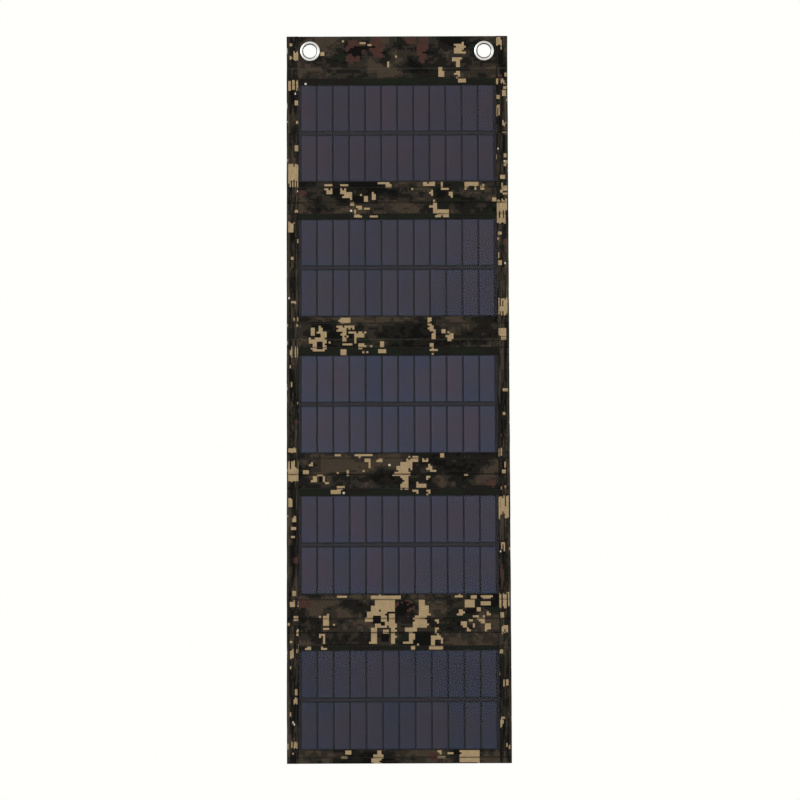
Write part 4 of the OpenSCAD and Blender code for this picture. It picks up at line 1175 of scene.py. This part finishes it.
border_line = np.stack([rim_x + away_x * 3 * MM, np.full(len(rim), POUCH_FLOOR + 0.05 * MM),
                        rim_z + away_z * 3 * MM], -1)
border_line = np.concatenate([border_line, border_line[:1]])
slot_x, slot_z = SLOT_HALF[0] + 1.5 * MM, SLOT_HALF[1] + 1.5 * MM
round_slot = np.array([(-1, -1), (1, -1), (1, 1), (-1, 1), (-1, -1)])
slot_line = np.stack([round_slot[:, 0] * slot_x, np.full(5, POUCH_TOP + 0.08 * MM),
                      ZIP_LEVEL + round_slot[:, 1] * slot_z], -1)
lines = [sewn_line(line, 1.5 * MM, STITCH_PITCH) for line in (border_line, slot_line)]
places, ways = (np.concatenate(parts) for parts in zip(*lines))
outward = np.tile([0, 1.0, 0], (len(places), 1))
piece = beads("pouch_stitching", places, ways, outward, STITCH_LENGTH, THREAD, thread_finish)
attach(piece, "panel_5")


# ---------------------------------------------------------------- zip
# A nylon coil zip: two rows of coil loops sewn onto a woven tape, which is sewn inside the pouch's slot.
# Its slider and pull are die-cast zinc with a gunmetal plate.

zip_low, zip_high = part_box("pouch_zip")
COIL_PITCH = 1.3 * MM
COIL_RADIUS = 0.48 * MM
COIL_WIDTH = 2.7 * MM

# Polyester zip tape, woven in a herringbone: black and dull, with ribs 1 mm apart.
zip_tape_finish = patterned("black polyester zip tape, woven", "TexWave", {"Scale": WAVE / (1.0 * MM)},
                            [(0.1, "#0e0e0f"), (0.9, "#1e1e20")],
                            {"Roughness": 0.8, "Specular IOR Level": 0.2}, bump=(0.5, 0.15 * MM),
                            bands_direction="DIAGONAL")
# Nylon monofilament, extruded and wound: black with a smooth, slightly blurred shine.
coil_finish = patterned("black nylon coil, extruded", "TexNoise", {"Scale": 1 / (0.8 * MM), "Detail": 3.0},
                        [(0.3, "#131314"), (0.75, "#2a2a2d")], {}, rough=(0.28, 0.45))
# Die-cast zinc with a gunmetal plate, tumbled: dark warm grey metal, paler where it is rubbed.
gunmetal_finish = patterned("gunmetal-plated zinc, tumbled", "TexNoise",
                            {"Scale": 1 / (0.7 * MM), "Detail": 4.0},
                            [(0.3, "#6a655f"), (0.72, "#7f7a73")], {"Metallic": 1.0}, rough=(0.26, 0.42))

tape_x = np.linspace(zip_low.x, zip_high.x, 67)
tape_z = np.linspace(zip_high.z, zip_low.z, 9)
x, z = np.meshgrid(tape_x[::-1], tape_z)
tape_y = POUCH_TOP - 0.75 * MM - 0.15 * MM * bell(abs(z - ZIP_LEVEL) - 3.2 * MM, 1.2 * MM)
piece = woven_piece("zip_tape", np.stack([x, tape_y, z], -1), np.stack([x, z], -1),
                    finish=zip_tape_finish, thickness=0.5 * MM)
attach(piece, "panel_5")
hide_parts("pouch_zip")
at = np.arange(-SLOT_HALF[0] + COIL_PITCH, SLOT_HALF[0] - COIL_PITCH / 2, COIL_PITCH)
upper = np.stack([at, 0 * at + zip_high.y - COIL_RADIUS, 0 * at + ZIP_LEVEL + 0.95 * MM], -1)
lower = upper + np.array([COIL_PITCH / 2, 0, -1.9 * MM])
loops = np.concatenate([upper, lower])
across, outward = (np.tile(way, (len(loops), 1)) for way in ([0, 0, 1.0], [0, 1.0, 0]))
piece = beads("zip_coil", loops, across, outward, COIL_WIDTH, COIL_RADIUS, coil_finish)
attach(piece, "panel_5")


def tumbled(name, finish, ease):
    """A cast part, from its CAD shape: a copy with its corners merged and its flat faces joined, whose
    edges Bevel rounds off by the given radius, as tumbling does."""
    shape = bmesh.new()
    shape.from_mesh(frame["nodes"][name].data)
    bmesh.ops.remove_doubles(shape, verts=shape.verts, dist=0.01 * MM)
    bmesh.ops.dissolve_limit(shape, angle_limit=math.radians(1), verts=shape.verts, edges=shape.edges)
    cast = bpy.data.meshes.new(f"{name}_cast")
    shape.to_mesh(cast)
    shape.free()
    cast.polygons.foreach_set("use_smooth", np.ones(len(cast.polygons), bool))
    cast.materials.append(finish)
    piece = bpy.data.objects.new(f"{name}_cast", cast)
    bpy.context.scene.collection.objects.link(piece)
    rounding = piece.modifiers.new("eased edges", "BEVEL")
    rounding.width = ease
    rounding.segments = 3
    rounding.angle_limit = math.radians(35)
    rounding.harden_normals = True
    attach(piece, name)
    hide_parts(name)


tumbled("zip_slider", gunmetal_finish, 0.32 * MM)
tumbled("zip_pull", gunmetal_finish, 0.22 * MM)


# ---------------------------------------------------------------- stage
# A plain pale floor below the blanket, soft light from large lamps, and a camera square to its front.

centre = (cad_box[0] + cad_box[1]) / 2
CAMERA_AWAY = 3.0
CAMERA_BELOW = math.radians(4.4)
CAMERA_ROLL = math.radians(0.2)

# Painted floor, pale and matt, with a faint unevenness.
floor_paint = patterned("pale matt floor paint", "TexNoise", {"Scale": 3.0, "Detail": 2.0},
                        [(0.3, "#e9e8e4"), (0.7, "#efeeea")], {"Roughness": 0.9})
floor_mesh = bpy.data.meshes.new("floor")
level = cad_box[0].z - 0.12
floor_mesh.from_pydata([(-2.5, -2.5, level), (2.5, -2.5, level), (2.5, 1.0, level), (-2.5, 1.0, level)], [],
                       [(0, 1, 2, 3)])
floor_mesh.materials.append(floor_paint)
floor = bpy.data.objects.new("floor", floor_mesh)
bpy.context.scene.collection.objects.link(floor)

scene = bpy.context.scene
scene.view_settings.view_transform = "Standard"
world = bpy.data.worlds.new("studio")
world.use_nodes = True
scene.world = world
world.node_tree.nodes.clear()
ray = add(world, "LightPath")
lit = add(world, "Background", {"Color": (1, 1, 1, 1), "Strength": 0.6})
seen = add(world, "Background", {"Color": (1, 1, 0.97, 1), "Strength": 1.0})
mixed = add(world, "MixShader", {0: ray.outputs["Is Camera Ray"], 1: lit.outputs[0], 2: seen.outputs[0]})
add(world, "OutputWorld", {"Surface": mixed.outputs[0]})


def lamp(name, place, size, power):
    """A square soft lamp of that size, aimed at the blanket's middle."""
    light = bpy.data.lights.new(name, "AREA")
    light.size = size
    light.energy = power
    held = bpy.data.objects.new(name, light)
    held.location = place
    aim = centre - held.location
    held.rotation_euler = aim.to_track_quat("-Z", "Y").to_euler()
    scene.collection.objects.link(held)


lamp("key_lamp", (-1.6, -2.4, 0.9), 1.2, 27)
lamp("fill_lamp", (1.9, -2.2, 0.1), 1.6, 9)
lamp("back_lamp", (0.9, 2.4, 0.6), 1.4, 34)

view = bpy.data.cameras.new("camera")
view.sensor_width = 36
frame_height = 800 / 0.906 * MM         # the view's height at the blanket, so that it stands as tall
view.lens = view.sensor_width * CAMERA_AWAY / frame_height
camera = bpy.data.objects.new("camera", view)
aim_at = centre + Vector((1.2 * MM, -centre.y, -4.2 * MM))
back = np.array([0, -math.cos(CAMERA_BELOW), -math.sin(CAMERA_BELOW)])
camera.location = [aim_at[k] + CAMERA_AWAY * back[k] for k in range(3)]
camera.rotation_euler = (math.pi / 2 + CAMERA_BELOW, CAMERA_ROLL, 0)
scene.collection.objects.link(camera)
scene.camera = camera
